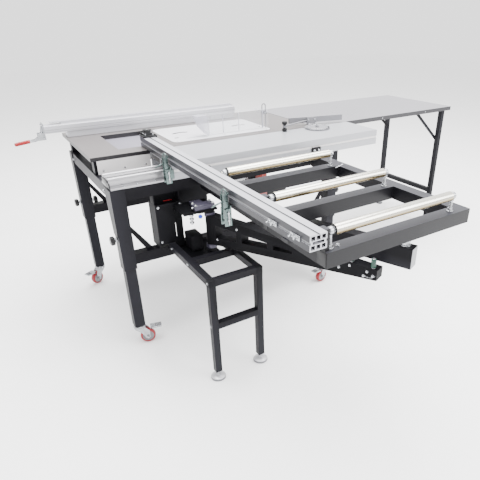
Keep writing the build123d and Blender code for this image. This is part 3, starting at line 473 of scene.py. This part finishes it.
def leg_knob(leg):
    """A star knob and its screw on each side of a leg where the node has one."""
    node = f"leg_knob_{leg}"
    low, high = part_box(node)
    centre = Vector(joints[f"leg_knob_turn_{leg}"]["pos_m"])
    knob_radius = (high[2] - low[2]) / 2
    bm_black, bm_zinc = bmesh.new(), bmesh.new()
    for way, end in ((-1, low[0]), (1, high[0])):
        if (end - centre.x) * way < LEG_HALF:
            continue
        along = Vector((way, 0, 0))
        tip = Vector((end, centre.y, centre.z))
        face = tip - along * KNOB_DEPTH
        star_knob(bm_black, Matrix.Translation(face) @ towards(along), knob_radius, KNOB_DEPTH)
        rod(bm_zinc, centre + along * 0.0256, face + along * 0.002, 0.0058, 16)
        rod(bm_zinc, centre + along * 0.031, centre + along * 0.038, 0.0115, 6)
        rod(bm_zinc, tip - along * 0.001, tip + along * 0.0004, 0.005, 6)
    done(bm_black, f"star_knob_{leg}", node, BLACK, replaces=(node,))
    done(bm_zinc, f"knob_screw_{leg}", node, ZINC)


for leg in LEGS:
    leg_knob(leg)

SIDE_ON = Matrix(((1, 0, 0, 0), (0, 0, 1, 0), (0, 1, 0, 0), (0, 0, 0, 1)))


def side_plate(bm, outline, y, thickness):
    """A plate standing along X: outline in x and z, from y backwards."""
    plate(bm, outline, Matrix.Translation((0, y, 0)) @ SIDE_ON, thickness)


def nut(bm, point, normal, size, height):
    """A hexagon standing on a point."""
    point, normal = Vector(point), Vector(normal).normalized()
    rod(bm, point, point + normal * height, size, 6)


def washer(bm, point, normal, radius, height):
    """A flat disc standing on a point."""
    point, normal = Vector(point), Vector(normal).normalized()
    rod(bm, point, point + normal * height, radius, 28)


def ring(bm, centre, axis, radius, thick, sides=36, tube_sides=10):
    """A torus."""
    place = Matrix.Translation(Vector(centre)) @ towards(axis)
    outline = [(radius + thick * cos(2 * pi * i / tube_sides), thick * sin(2 * pi * i / tube_sides))
               for i in range(tube_sides + 1)]
    turned(bm, outline, place, sides)


# ---- blade guard: clear sheets, milky nose, spacers and hinge pin ---------------------------
guard_low, guard_high = 0.905, 1.008
guard_left, guard_right = -0.475, -0.100
guard_front, guard_back = 0.441, 0.495
blade_y = 0.468
sheet = 0.003
slot_end, slot_half = -0.176, 0.0075
nose_tip, nose_foot, nose_low = -0.537, -0.513, guard_low + 0.042
pin_low, pin_high = 0.916, 0.994
pivot_x, pivot_z, pivot_radius = -0.114, 0.985, 0.0048
bm = bmesh.new()
panel = [(guard_left, guard_low), (guard_right, guard_low), (guard_right, guard_high),
         (guard_left, guard_high)]
for y in (guard_front, guard_back - sheet):
    side_plate(bm, panel, y, sheet)
slab(bm, (guard_left, guard_front + sheet, guard_high - sheet),
     (slot_end, guard_back - sheet, guard_high), 0)
top_strips = ((guard_front + sheet, blade_y - slot_half), (blade_y + slot_half, guard_back - sheet))
for low, high in top_strips:
    slab(bm, (slot_end, low, guard_high - sheet), (guard_right, high, guard_high), 0)
done(bm, "guard_panels", "blade_guard", CLEAR, smooth=False, replaces=("blade_guard",))
bm = bmesh.new()
nose = [(nose_tip, guard_high), (nose_foot, nose_low), (guard_left, guard_low),
        (guard_left, guard_high)]
for y in (guard_front, guard_back - sheet):
    side_plate(bm, nose, y, sheet)
slab(bm, (nose_tip + 0.005, guard_front + sheet, guard_high - sheet),
     (guard_left, guard_back - sheet, guard_high), 0)
slope = [(nose_tip, guard_high), (nose_foot, nose_low), (nose_foot + 0.004, nose_low),
         (nose_tip + 0.004, guard_high)]
side_plate(bm, slope, guard_front + sheet, guard_back - guard_front - 2 * sheet)
slope = [(nose_foot, nose_low), (guard_left, guard_low), (guard_left + 0.004, guard_low + 0.002),
         (nose_foot + 0.004, nose_low + 0.001)]
side_plate(bm, slope, guard_front + sheet, guard_back - guard_front - 2 * sheet)
done(bm, "guard_nose", "blade_guard", MILKY, smooth=False)
bm = bmesh.new()
for x in (-0.470, -0.385, -0.290, -0.135):
    slab(bm, (x - 0.003, guard_front + 0.0005, guard_low + 0.004),
         (x + 0.003, guard_front + 0.0045, guard_high - 0.004), 0.0005)
done(bm, "guard_ribs", "blade_guard", MILKY)
bm = bmesh.new()
pins = [(x, pin_high) for x in (-0.460, -0.385, -0.290, -0.160)]
pins += [(x, pin_low) for x in (-0.385, -0.160)]
for x, z in pins:
    rod(bm, (x, guard_front + 0.0002, z), (x, guard_front + 0.006, z), 0.0028, 12)
pivot_runs = ((guard_front, blade_y - 0.0155), (blade_y + 0.0155, guard_back),
              (blade_y - 0.015, blade_y + 0.015))
for start, end in pivot_runs:
    rod(bm, (pivot_x, start, pivot_z), (pivot_x, end, pivot_z), pivot_radius, 20)
done(bm, "guard_pins", "blade_guard", ZINC)

# ---- insert plate: finger handles, painted seam shadow and countersunk screws ---------------
bm = bmesh.new()
arc_y, arc_outer, arc_inner = 0.547, 0.0775, 0.0635
for x in (-0.570, -0.208):
    outline = []
    for radius, turns in ((arc_outer, range(62, 119, 4)), (arc_inner, range(118, 61, -4))):
        for turn in turns:
            outline.append((x + radius * cos(radians(turn)), arc_y + radius * sin(radians(turn))))
    plate(bm, outline, Matrix.Translation((0, 0, TABLE_TOP - 0.0070)), 0.0062)
slab(bm, (-0.640, 0.500, 0.8995), (-0.618, 0.512, 0.9004), 0.0002)
done(bm, "finger_handles", "frame", BLACK)
# Painted shadow: a dark wire laid in the seam round the insert plate.
seam = []
left, right, front, back, corner = -0.6803, -0.0927, 0.4077, 0.7653, 0.034
for cx, cy, start in ((right - corner, back - corner, 0), (left + corner, back - corner, 90),
                      (left + corner, front + corner, 180), (right - corner, front + corner, 270)):
    for step in range(7):
        turn = radians(start + 15 * step)
        seam.append((cx + corner * cos(turn), cy + corner * sin(turn), 0.8996))
wire("insert_seam_shadow", seam, 0.0011, "frame", INK_AND_SEAM_SHADE, closed=True)
bm = bmesh.new()
screw_spots = [(-0.655, 0.430), (-0.387, 0.425), (-0.120, 0.430), (-0.655, 0.742), (-0.387, 0.748),
               (-0.120, 0.742)]
for x, y in screw_spots:
    turned(bm, [(0.0012, 0.0001), (0.0045, 0.0004), (0.0048, -0.0006), (0, -0.0006)],
           Matrix.Translation((x, y, TABLE_TOP)), 16)
done(bm, "insert_screws", "frame", ZINC)

# ---- tables: seam bolts, rail screws and end stop -------------------------------------------
bm = bmesh.new()
for x in (-1.04, -0.98, -0.90, -0.70, -0.40, -0.10, 0.08):
    bolt(bm, (x, 0.108, 0.823), UP, 0.0048)
for x in (-1.06, -0.96, -0.86):
    bolt(bm, (x, 0.3445, 0.836), FRONT, 0.0036)
for y in (0.20, 0.80):
    bolt(bm, (-1.103, y, 0.79), LEFT, 0.0055)
done(bm, "rail_bolts", "frame", ZINC)
bm = bmesh.new()
slab(bm, (-1.104, 0.098, 0.826), (-1.0982, 0.122, 0.846), 0.001)
slab(bm, (-1.1025, 0.128, 0.826), (-1.0982, 0.208, 0.850), 0.001)
done(bm, "rail_end_cap", "frame", BLACK)

# ---- rip fence: ribbed grip, links, clamp screw and painted groove shade --------------------
clamp_y, clamp_x, screw_z = 0.859, -1.2160, 0.928
bm = bmesh.new()
start = Vector((-1.283, clamp_y, 0.8972))
reach_out = Vector((-1, 0, -0.12)).normalized()
length = 0.0762
outline = [(0, 0), (0.0066, 0.0), (0.0086, 0.003)]
for rib in range(8):
    base = 0.006 + rib * 0.0078
    outline += [(0.0098, base), (0.0098, base + 0.0046), (0.0084, base + 0.0056),
                (0.0084, base + 0.0070)]
outline += [(0.0094, length - 0.006), (0.0074, length - 0.0015), (0.0040, length), (0, length)]
turned(bm, outline, Matrix.Translation(start) @ towards(reach_out), 36)
done(bm, "grip", "toggle_handle", GRIP, replaces=("toggle_handle",))
bm = bmesh.new()
for side in (-1, 1):
    y = clamp_y + side * 0.0065 - 0.0015
    side_plate(bm, [(-1.229, 0.903), (-1.232, 0.9155), (-1.246, 0.9155), (-1.262, 0.905),
                    (-1.286, 0.9035), (-1.286, 0.8915), (-1.258, 0.893), (-1.240, 0.899)], y, 0.003)
rod(bm, (-1.240, 0.8495, 0.908), (-1.240, 0.8685, 0.908), 0.0042, 16)
rod(bm, (-1.262, 0.8500, 0.899), (-1.262, 0.8680, 0.899), 0.0036, 16)
rod(bm, start - reach_out * 0.010, start + reach_out * 0.004, 0.0062, 16)
done(bm, "handle_links", "toggle_handle", ZINC)
bm = bmesh.new()
for y in (0.838, 0.880):
    for z in (0.910, 0.972):
        bolt(bm, (clamp_x, y, z), LEFT, 0.0042)
rod(bm, (-1.2275, clamp_y, screw_z), (clamp_x, clamp_y, screw_z), 0.0046, 18)
nut(bm, (-1.2200, clamp_y, screw_z), LEFT, 0.0095, 0.005)
side_plate(bm, [(clamp_x, 0.934), (clamp_x, 0.972), (-1.2220, 0.968), (-1.2290, 0.936)], 0.8575, 0.003)
done(bm, "clamp_fittings", "rip_fence", ZINC)
# Painted shade: two thin grey strips on the fence's face stand in for the shade in its grooves.
bm = bmesh.new()
slab(bm, (-1.2085, 0.8254, 0.9475), (-0.1115, 0.8262, 0.9490), 0)
slab(bm, (-1.2085, 0.8254, 0.9385), (-0.1115, 0.8262, 0.9392), 0)
done(bm, "fence_groove_shade", "rip_fence", HUB, smooth=False)

# ---- flip stop ------------------------------------------------------------------------------
stop_x, stop_y = -0.814, 0.404
bm = bmesh.new()
slab(bm, (-0.8455, 0.372, 0.9512), (-0.7765, 0.436, 0.9590), 0.002)
slab(bm, (-0.7825, 0.374, 0.9040), (-0.7765, 0.434, 0.9520), 0.0015)
for y in (0.380, 0.426):
    side_plate(bm, [(-0.842, 0.957), (-0.842, 0.964), (-0.832, 0.976), (-0.820, 0.979), (-0.790, 0.966),
                    (-0.7775, 0.960), (-0.7775, 0.957)], y, 0.004)
star_knob(bm, Matrix.Translation((stop_x, stop_y, 0.9700)), 0.0215, 0.0158, 5)
turned(bm, [(0.009, 0.958), (0.009, 0.971), (0.012, 0.972)],
       Matrix.Translation((stop_x, stop_y, 0)), 24)
done(bm, "stop_body", "flip_stop", BLACK, replaces=("flip_stop",))
bm = bmesh.new()
rod(bm, (-0.833, 0.3775, 0.966), (-0.833, 0.4325, 0.966), 0.0030, 16)
bolt(bm, (-0.7835, stop_y, 0.925), LEFT, 0.0020)
turned(bm, [(0.0, 0.9861), (0.0050, 0.9858), (0.0055, 0.9845)],
       Matrix.Translation((stop_x, stop_y, 0)), 20)
rod(bm, (-0.795, 0.3790, 0.9645), (-0.795, 0.4310, 0.9645), 0.0034, 16)
done(bm, "stop_pins", "flip_stop", ZINC)

# ---- crosscut fence: bolts and slot shadows -------------------------------------------------
fence_face, bolt_z = -0.8440, 0.9255
bm = bmesh.new()
for y in (-0.783, -0.902):
    for step in (-0.012, 0.012):
        bolt(bm, (fence_face, y + step, bolt_z), LEFT, 0.0060)
        rod(bm, (fence_face, y + step, bolt_z), (fence_face - 0.0160, y + step, bolt_z), 0.0034, 12)
    slab(bm, (fence_face - 0.0035, y - 0.024, 0.9180), (fence_face, y + 0.024, 0.9330), 0.0008)
done(bm, "fence_bolts", "crosscut_fence", ZINC)
bm = bmesh.new()
slab(bm, (-0.8180, -0.966, 0.9471), (-0.8100, 0.429, 0.9476), 0)
slab(bm, (-0.8413, -0.966, 0.9225), (-0.8408, 0.429, 0.9285), 0)
done(bm, "fence_slot_shadow", "crosscut_fence", HUB, smooth=False)

# ---- over-centre latches --------------------------------------------------------------------
for name, y in (("rear", 0.060), ("front", -0.497)):
    lever = f"latch_lever_{name}"
    loop = [(-0.862, y - 0.004, 0.905), (-0.880, y - 0.016, 0.912), (-0.903, y - 0.020, 0.906),
            (-0.913, y - 0.006, 0.896), (-0.905, y + 0.006, 0.892), (-0.885, y + 0.008, 0.900),
            (-0.862, y + 0.004, 0.905)]
    wire(f"latch_loop_{name}", loop, 0.0022, lever, ZINC_GREEN)
    bm = bmesh.new()
    ring(bm, (-0.8612, y, 0.938), (1, 0.35, 0), 0.011, 0.0028)
    for side in (-1, 1):
        cheek = y + side * 0.0100
        slab(bm, (-0.8700, cheek - 0.0012, 0.862), (-0.8520, cheek + 0.0012, 0.932), 0.0004)
    rod(bm, (-0.8610, y - 0.0118, 0.905), (-0.8610, y + 0.0118, 0.905), 0.0030, 14)
    done(bm, f"latch_cheeks_{name}", lever, ZINC_GREEN)
    bm = bmesh.new()
    for side, drop in ((-1, 0.824), (1, 0.832)):
        hook_x, hook_y = -0.8560, y + side * 0.0195
        rod(bm, (hook_x, hook_y, drop), (hook_x, hook_y, 0.874), 0.0030, 12)
        for height in (0.838, 0.864):
            nut(bm, (hook_x, hook_y, height), UP, 0.0062, 0.006)
    done(bm, f"latch_hooks_{name}", "carriage", ZINC)

# ---- support rollers: bearings in the ends, eye bolts at each end ---------------------------
roller_rows = (-0.8475, -0.4975, -0.1245)
roller_height = 0.881
post_root = 0.8205
for number, y in enumerate(roller_rows, start=1):
    bm_black, bm_zinc = bmesh.new(), bmesh.new()
    for end, way in ((-0.660, -1), (-0.110, 1)):
        place = Matrix.Translation((end, y, roller_height)) @ towards((way, 0, 0))
        turned(bm_black, [(0.0062, 0.0002), (0.0150, 0.0002), (0.0172, 0.0010), (0.0184, 0.0004),
                          (0.0184, -0.003)], place, 36)
        turned(bm_zinc, [(0.0061, 0.0012), (0.0100, 0.0012), (0.0112, 0.0004)], place, 30)
    done(bm_black, f"bearing_seals_{number}", f"roller_{number}", BLACK)
    done(bm_zinc, f"bearing_rings_{number}", f"roller_{number}", ZINC)
bm = bmesh.new()
for y in roller_rows:
    for x, way in ((-0.673, -1), (-0.097, 1)):
        turned(bm, [(0, 0), (0.0130, 0), (0.0130, 0.0023), (0.0100, 0.0035), (0.0100, 0.0050)],
               Matrix.Translation((x, y, post_root)), 28)
        nut(bm, (x, y, post_root + 0.0050), UP, 0.0098, 0.0075)
        rod(bm, (x, y, post_root + 0.0125), (x, y, roller_height - 0.0120), 0.0058, 18)
        for turn in range(9):
            ring(bm, (x, y, post_root + 0.0145 + turn * 0.0026), UP, 0.0057, 0.0008, 18, 6)
        if way > 0:
            nut(bm, (x, y, 0.8620), UP, 0.0098, 0.0055)
        place = Matrix.Translation((x, y, roller_height)) @ towards((way, 0, 0))
        turned(bm, [(0.0062, -0.0090), (0.0115, -0.0090), (0.0135, -0.0060), (0.0138, 0.0),
                    (0.0135, 0.0060), (0.0115, 0.0085), (0.0062, 0.0085)], place, 32)
        washer(bm, (x + way * 0.0085, y, roller_height), (way, 0, 0), 0.0090, 0.0012)
done(bm, "eye_bolts", "carriage", ZINC, replaces=("roller_posts",))

# ---- mitre gauge: graduations, bolts and knobs ----------------------------------------------
gauge_x, gauge_y, gauge_rest = 0.130, 0.285, radians(-13)
clamp_knob_x, clamp_knob_y, clamp_knob_z = -0.070, 0.320, 0.928
disc_top = 0.9075
gauge = Matrix.Translation((gauge_x, gauge_y, 0)) @ Matrix.Rotation(gauge_rest, 4, "Z")
bm = bmesh.new()
for mark in range(-90, 91, 3):
    turn = radians(mark - 90)
    inner = 0.058 if mark % 15 == 0 else 0.0635
    low = gauge @ Vector((inner * cos(turn), inner * sin(turn), 0.9081))
    high = gauge @ Vector((0.0700 * cos(turn), 0.0700 * sin(turn), 0.9081))
    rod(bm, low, high, 0.00045, 6)
done(bm, "graduations", "mitre_gauge", INK_AND_SEAM_SHADE)
bm = bmesh.new()
ring(bm, (gauge_x, gauge_y, 0.9078), UP, 0.0555, 0.0009, 60, 6)
ring(bm, (gauge_x, gauge_y, disc_top), UP, 0.0714, 0.0008, 60, 6)
for x, y in ((0.0, 0.062), (-0.012, 0.090), (0.030, 0.090)):
    spot = gauge @ Vector((x, y, disc_top))
    bolt(bm, spot, UP, 0.0052)
bolt(bm, (gauge_x, gauge_y, 0.9160), UP, 0.0075)
for x in (-0.012, 0.028):
    spot = gauge @ Vector((x, 0.1008, 0.930))
    bolt(bm, spot, gauge.to_3x3() @ Vector((0, -1, 0)), 0.0045)
done(bm, "gauge_bolts", "mitre_gauge", ZINC)
bm = bmesh.new()
rod_end = gauge @ Vector((-0.0235, 0.1025, clamp_knob_z))
line = (Vector((clamp_knob_x, clamp_knob_y, clamp_knob_z)) - rod_end).normalized()
rod(bm, rod_end, rod_end + line * 0.022, 0.0062, 18, 0.0045)
done(bm, "rod_sleeve", "mitre_gauge", BLACK)
bm = bmesh.new()
star_knob(bm, Matrix.Translation((clamp_knob_x, clamp_knob_y, 0.9012)), 0.0155, 0.0165, 4)
star_knob(bm, Matrix.Translation((clamp_knob_x, clamp_knob_y, 0.9385)), 0.0160, 0.0165, 4)
for low, high, radius in ((0.9177, 0.9222, 0.0080), (0.9340, 0.9387, 0.0080)):
    rod(bm, (clamp_knob_x, clamp_knob_y, low), (clamp_knob_x, clamp_knob_y, high), radius, 20)
done(bm, "clamp_knob_lobes", "clamp_knob", BLACK, replaces=("clamp_knob",))
bm = bmesh.new()
rod(bm, (clamp_knob_x, clamp_knob_y, 0.9020), (clamp_knob_x, clamp_knob_y, 0.9545), 0.0046, 18)
done(bm, "clamp_knob_screw", "clamp_knob", ZINC)

# ---- carriage: end covers, and painted light over the side groove ---------------------------
bm = bmesh.new()
for x in (-0.8318, 0.3868):
    slab(bm, (x, 0.0770, 0.8655), (x + 0.003, 0.3330, 0.8875), 0.0005)
for x in (-0.8318, 0.3885):
    slab(bm, (x, 0.0705, 0.8232), (x + 0.0015, 0.0755, 0.8550), 0)
done(bm, "carriage_covers", "carriage", BLACK)
# Painted light: a pale strip, lighter than the carriage's aluminium, covers the shade in its side
# groove.
bm = bmesh.new()
slab(bm, (-0.830, 0.0712, 0.8565), (0.388, 0.0728, 0.8675), 0)
done(bm, "carriage_groove_painted_light", "carriage", APRON, smooth=False)

# ---- outrigger: tube plugs, bolts and hook pin ----------------------------------------------
bm = bmesh.new()
for front in (-0.875, -0.525, -0.152):
    for x, way in ((-0.704, -1), (-0.012, 1)):
        near, far = sorted((x, x + way * 0.0012))
        slab(bm, (near, front + 0.004, 0.768), (far, front + 0.051, 0.816), 0.0004)
done(bm, "tube_plugs", "carriage", BLACK)
bm = bmesh.new()
for front in (-0.525, -0.875):
    for x in (-0.690, -0.640):
        bolt(bm, (x, front + 0.0275, 0.8200), UP, 0.0060)
for x in (-0.6765, -0.040):
    for step in (-0.014, 0.014):
        bolt(bm, (x + step, 0.0622, 0.846), FRONT, 0.0055)
wire("hook_pin", [(-0.085, -0.1530, 0.812), (-0.060, -0.1600, 0.822), (-0.045, -0.1600, 0.826)], 0.0022,
     "carriage", ZINC)
done(bm, "outrigger_bolts", "carriage", ZINC)

# ---- swing arm ------------------------------------------------------------------------------
ARM_HIGH, ARM_FALL, ARM_LENGTH = 0.668, 0.026, 0.8477
arm_turn = atan2(-0.787, 0.315)
arm_along = Vector((cos(arm_turn), sin(arm_turn), 0))
arm_side = Vector((sin(arm_turn), -cos(arm_turn), 0))
arm_foot = Vector((-0.708, -0.020, 0))


def on_arm(along, side, height):
    """A point given along the arm, to its side, and above the floor."""
    return arm_foot + arm_along * along + arm_side * side + Vector((0, 0, height))


bm_green, bm_zinc = bmesh.new(), bmesh.new()
for along in (0.738, 0.826):
    top = ARM_HIGH - ARM_FALL * along / ARM_LENGTH
    place = Matrix.Translation(on_arm(along, 0.012, 0))
    turned(bm_green, [(0.0050, top + 0.004), (0.0090, top + 0.004), (0.0098, top + 0.006),
                      (0.0098, top + 0.036), (0.0090, top + 0.0385), (0.0050, top + 0.0385)], place, 28)
    turned(bm_zinc, [(0, top + 0.0003), (0.0090, top + 0.0003), (0.0090, top + 0.0032),
                     (0.0048, top + 0.0036), (0.0048, top + 0.0385), (0.0068, top + 0.0388),
                     (0.0068, top + 0.0399), (0, top + 0.0399)], place, 20)
done(bm_green, "green_rollers", "arm_outer", GREEN, replaces=("arm_rollers",))
done(bm_zinc, "green_roller_pins", "arm_outer", ZINC)
bm = bmesh.new()
arm_bolts = [(0.690, 0.612), (0.735, 0.633), (0.795, 0.607), (0.808, 0.628), (0.832, 0.616),
             (0.180, 0.640), (0.060, 0.560), (0.100, 0.652)]
for along, height in arm_bolts:
    bolt(bm, on_arm(along, 0.025, height), arm_side, 0.0044)
done(bm, "arm_bolts", "arm_outer", ZINC)
wire("arm_wire", [on_arm(0.795, 0.0275, 0.609), on_arm(0.815, 0.0300, 0.606),
                  on_arm(0.836, 0.0300, 0.612), on_arm(0.844, 0.0275, 0.622)], 0.0008, "arm_outer",
     ZINC)
bm = bmesh.new()
for height in (0.668, 0.510):
    turned(bm, [(0.0225, height - 0.010), (0.0255, height - 0.008), (0.0255, height + 0.008),
                (0.0225, height + 0.010)], Matrix.Translation(arm_foot), 32)
done(bm, "arm_collars", "arm_outer", BEARING)
bm = bmesh.new()
inner_middle = -0.055
tube_end = [(-0.0245, 0.6555), (0.0245, 0.6555), (0.0245, 0.7345), (-0.0245, 0.7345)]
end_place = Matrix.Translation(on_arm(0.9500, inner_middle, 0)) @ Matrix(
    ((arm_side.x, 0, arm_along.x, 0), (arm_side.y, 0, arm_along.y, 0), (0, 1, 0, 0), (0, 0, 0, 1)))
plate(bm, tube_end, end_place, 0.0012)
done(bm, "inner_arm_end", "arm_inner", HUB)
bm = bmesh.new()
post = on_arm(0.912, inner_middle, 0)
turned(bm, [(0.0142, 0.7352), (0.0200, 0.7352), (0.0200, 0.7400), (0.0165, 0.7420), (0.0165, 0.7500),
            (0.0190, 0.7510), (0.0190, 0.7600), (0.0165, 0.7620), (0.0142, 0.7620)],
       Matrix.Translation(post), 32)
place = Matrix.Translation(post + arm_along * -0.036)
turned(bm, [(0, 0.7352), (0.0120, 0.7352), (0.0120, 0.7400), (0.0090, 0.7420), (0.0090, 0.7560),
            (0.0105, 0.7570), (0.0105, 0.7620), (0, 0.7620)], place, 28)
done(bm, "arm_post_collars", "arm_inner", ZINC)

# ---- hinge of the swing arm on its bracket box ----------------------------------------------
bm = bmesh.new()
slab(bm, (-0.788, -0.0440, 0.7010), (-0.690, 0.0050, 0.7230), 0.003)
slab(bm, (-0.774, 0.0150, 0.7010), (-0.720, 0.0550, 0.7170), 0.003)
slab(bm, (-0.788, -0.0440, 0.4590), (-0.690, 0.0050, 0.4735), 0.003)
done(bm, "hinge_blocks", "frame", BEARING)
bm = bmesh.new()
for x in (-0.780, -0.698):
    for y in (-0.036, -0.003):
        bolt(bm, (x, y, 0.7230), UP, 0.0058)
rod(bm, (-0.796, -0.026, 0.712), (-0.684, -0.026, 0.712), 0.0050, 16)
rod(bm, (-0.802, -0.032, 0.640), (-0.802, -0.032, 0.6890), 0.0055, 16)
for height in (0.645, 0.662, 0.680):
    nut(bm, (-0.802, -0.032, height), UP, 0.0100, 0.007)
bolt(bm, (-0.805, 0.0908, 0.700), FRONT, 0.0050)
bolt(bm, (-0.910, 0.0908, 0.700), FRONT, 0.0050)
bolt(bm, (-0.910, 0.0908, 0.530), FRONT, 0.0050)
done(bm, "hinge_bolts", "frame", ZINC)
bm = bmesh.new()
slab(bm, (-0.770, -0.0400, 0.6845), (-0.735, 0.0600, 0.6895), 0.001)
slab(bm, (-0.790, -0.0420, 0.4690), (-0.742, 0.0850, 0.4738), 0.001)
done(bm, "hinge_plates", "frame", BRACKET)
bm = bmesh.new()
star_knob(bm, Matrix.Translation((-0.768, -0.046, 0.676)) @ towards((0, -1, 0)), 0.0100, 0.010, 5)
done(bm, "blue_knob", "frame", BLUE)
bm = bmesh.new()
slab(bm, (-0.868, 0.128, 0.7125), (-0.828, 0.134, 0.7150), 0.0006)
done(bm, "red_mark", "frame", GRIP)
bm = bmesh.new()
slab(bm, (-0.7985, 0.0020, 0.4860), (-0.7420, 0.0900, 0.5620), 0.004)
done(bm, "hinge_housing", "frame", DARK_ARM)
bm = bmesh.new()
slab(bm, (-0.9230, 0.1475, 0.6200), (-0.6400, 0.1515, 0.8120), 0.001)
for x in (-0.9228, -0.8042):
    slab(bm, (x, 0.1000, 0.7125), (x + 0.0040, 0.1475, 0.7645), 0.001)
done(bm, "hinge_back_plate", "frame", DARK_ARM)

# ---- dust chute under the saw ---------------------------------------------------------------
bm = bmesh.new()
side_plate(bm, [(-0.290, 0.535), (-0.225, 0.548), (-0.162, 0.580), (-0.156, 0.652), (-0.120, 0.658),
                (-0.120, 0.486), (-0.215, 0.486)], 0.436, 0.064)
bmesh.ops.bevel(bm, geom=list(bm.edges), offset=0.003, segments=2, affect="EDGES")
done(bm, "dust_chute", "saw_carrier", ORANGE)
bm = bmesh.new()
side_plate(bm, [(-0.119, 0.556), (-0.119, 0.492), (0.020, 0.506), (0.030, 0.520)], 0.446, 0.044)
bmesh.ops.bevel(bm, geom=list(bm.edges), offset=0.002, segments=2, affect="EDGES")
done(bm, "chute_cover", "saw_carrier", BLACK)
bm = bmesh.new()
slab(bm, (-0.290, 0.5235, 0.545), (-0.232, 0.5345, 0.682), 0.001)
slab(bm, (-0.280, 0.4995, 0.548), (-0.236, 0.5240, 0.578), 0.001)
done(bm, "chute_bracket", "saw_carrier", DARK_ARM)

# ---- feet -----------------------------------------------------------------------------------
step_foot_y, extension_leg_x = -0.330, 1.332
bm_disc, bm_top = bmesh.new(), bmesh.new()
for x in (-0.865, -0.641):
    place = Matrix.Translation((x, step_foot_y, 0))
    turned(bm_disc, [(0, 0.0), (0.0315, 0.0), (0.0340, 0.0020), (0.0340, 0.0085), (0.0330, 0.0100)],
           place, 48)
    turned(bm_top, [(0.0330, 0.0100), (0.0290, 0.0135), (0.0150, 0.0160), (0.0110, 0.0165),
                    (0.0090, 0.0170), (0.0062, 0.0175), (0.0062, 0.0400), (0, 0.0400)], place, 40)
    nut(bm_top, (x, step_foot_y, 0.0175), UP, 0.0110, 0.0075)
    for turn in range(5):
        ring(bm_top, (x, step_foot_y, 0.0275 + turn * 0.0024), UP, 0.0062, 0.0008, 20, 6)
done(bm_disc, "foot_pads", "frame", FOOT, replaces=("step_feet",))
done(bm_top, "foot_studs", "frame", FOOT_TOP)
bm_disc, bm_top = bmesh.new(), bmesh.new()
for y in (0.395, 0.917):
    place = Matrix.Translation((extension_leg_x, y, 0))
    turned(bm_disc, [(0.0270, 0.0005), (0.0275, 0.0020), (0.0275, 0.0060), (0.0271, 0.0075)], place, 40)
    nut(bm_top, (extension_leg_x, y, 0.0140), UP, 0.0110, 0.0070)
    turned(bm_top, [(0.0270, 0.0118), (0.0210, 0.0132), (0.0085, 0.0150)], place, 40)
done(bm_disc, "extension_pads", "extension_legs", FOOT)
done(bm_top, "extension_nuts", "extension_legs", FOOT_TOP)

# ---- corner caps of the step frame ----------------------------------------------------------
bm = bmesh.new()
for x in (-0.880, -0.656):
    slab(bm, (x - 0.0006, -0.3456, 0.4850), (x + 0.0306, -0.3150, 0.5156), 0.001)
done(bm, "step_corner_caps", "frame", DARK_ARM)

# ---- small bolts on the step frame and extension table --------------------------------------
bm = bmesh.new()
for x in (-0.880, -0.626):
    way = -1 if x < -0.7 else 1
    for y, z in ((-0.330, 0.500), (-0.130, 0.500), (-0.330, 0.285), (0.060, 0.500)):
        bolt(bm, (x, y, z), (way, 0, 0), 0.0042)
for x in (0.30, 0.70, 1.10):
    bolt(bm, (x, 0.344, 0.887), FRONT, 0.0033)
done(bm, "frame_bolts", "frame", ZINC)

# ---- world, lights and floor ----------------------------------------------------------------
world = bpy.data.worlds.new("studio")
bpy.context.scene.world = world
world.use_nodes = True
background = world.node_tree.nodes["Background"]
background.inputs["Color"].default_value = (1, 1, 1, 1)
background.inputs["Strength"].default_value = 2.0


def lamp(name, place, aim, size, power):
    """A square area light at a place, aimed at a point."""
    data = bpy.data.lights.new(name, "AREA")
    data.energy = power
    data.size = size
    made = bpy.data.objects.new(name, data)
    made.location = place
    made.rotation_euler = (Vector(aim) - Vector(place)).to_track_quat("-Z", "Y").to_euler()
    bpy.context.collection.objects.link(made)


lamp("top_light", (0.2, 0.4, 4.6), (0, 0, 0.6), 4.5, 900)
lamp("key_light", (2.2, -3.6, 3.0), (0, 0, 0.7), 2.6, 230)

floor_mesh = bpy.data.meshes.new("floor")
reach = 14
corners = [(-reach, -reach, 0), (reach, -reach, 0), (reach, reach, 0), (-reach, reach, 0)]
floor_mesh.from_pydata(corners, [], [(0, 1, 2, 3)])
floor = bpy.data.objects.new("floor", floor_mesh)
bpy.context.collection.objects.link(floor)
floor_mesh.materials.append(
    surface("pale_floor", (0.97, 0.97, 0.97), 0.75, mottle=0.01, grain=40, bump=0.02))
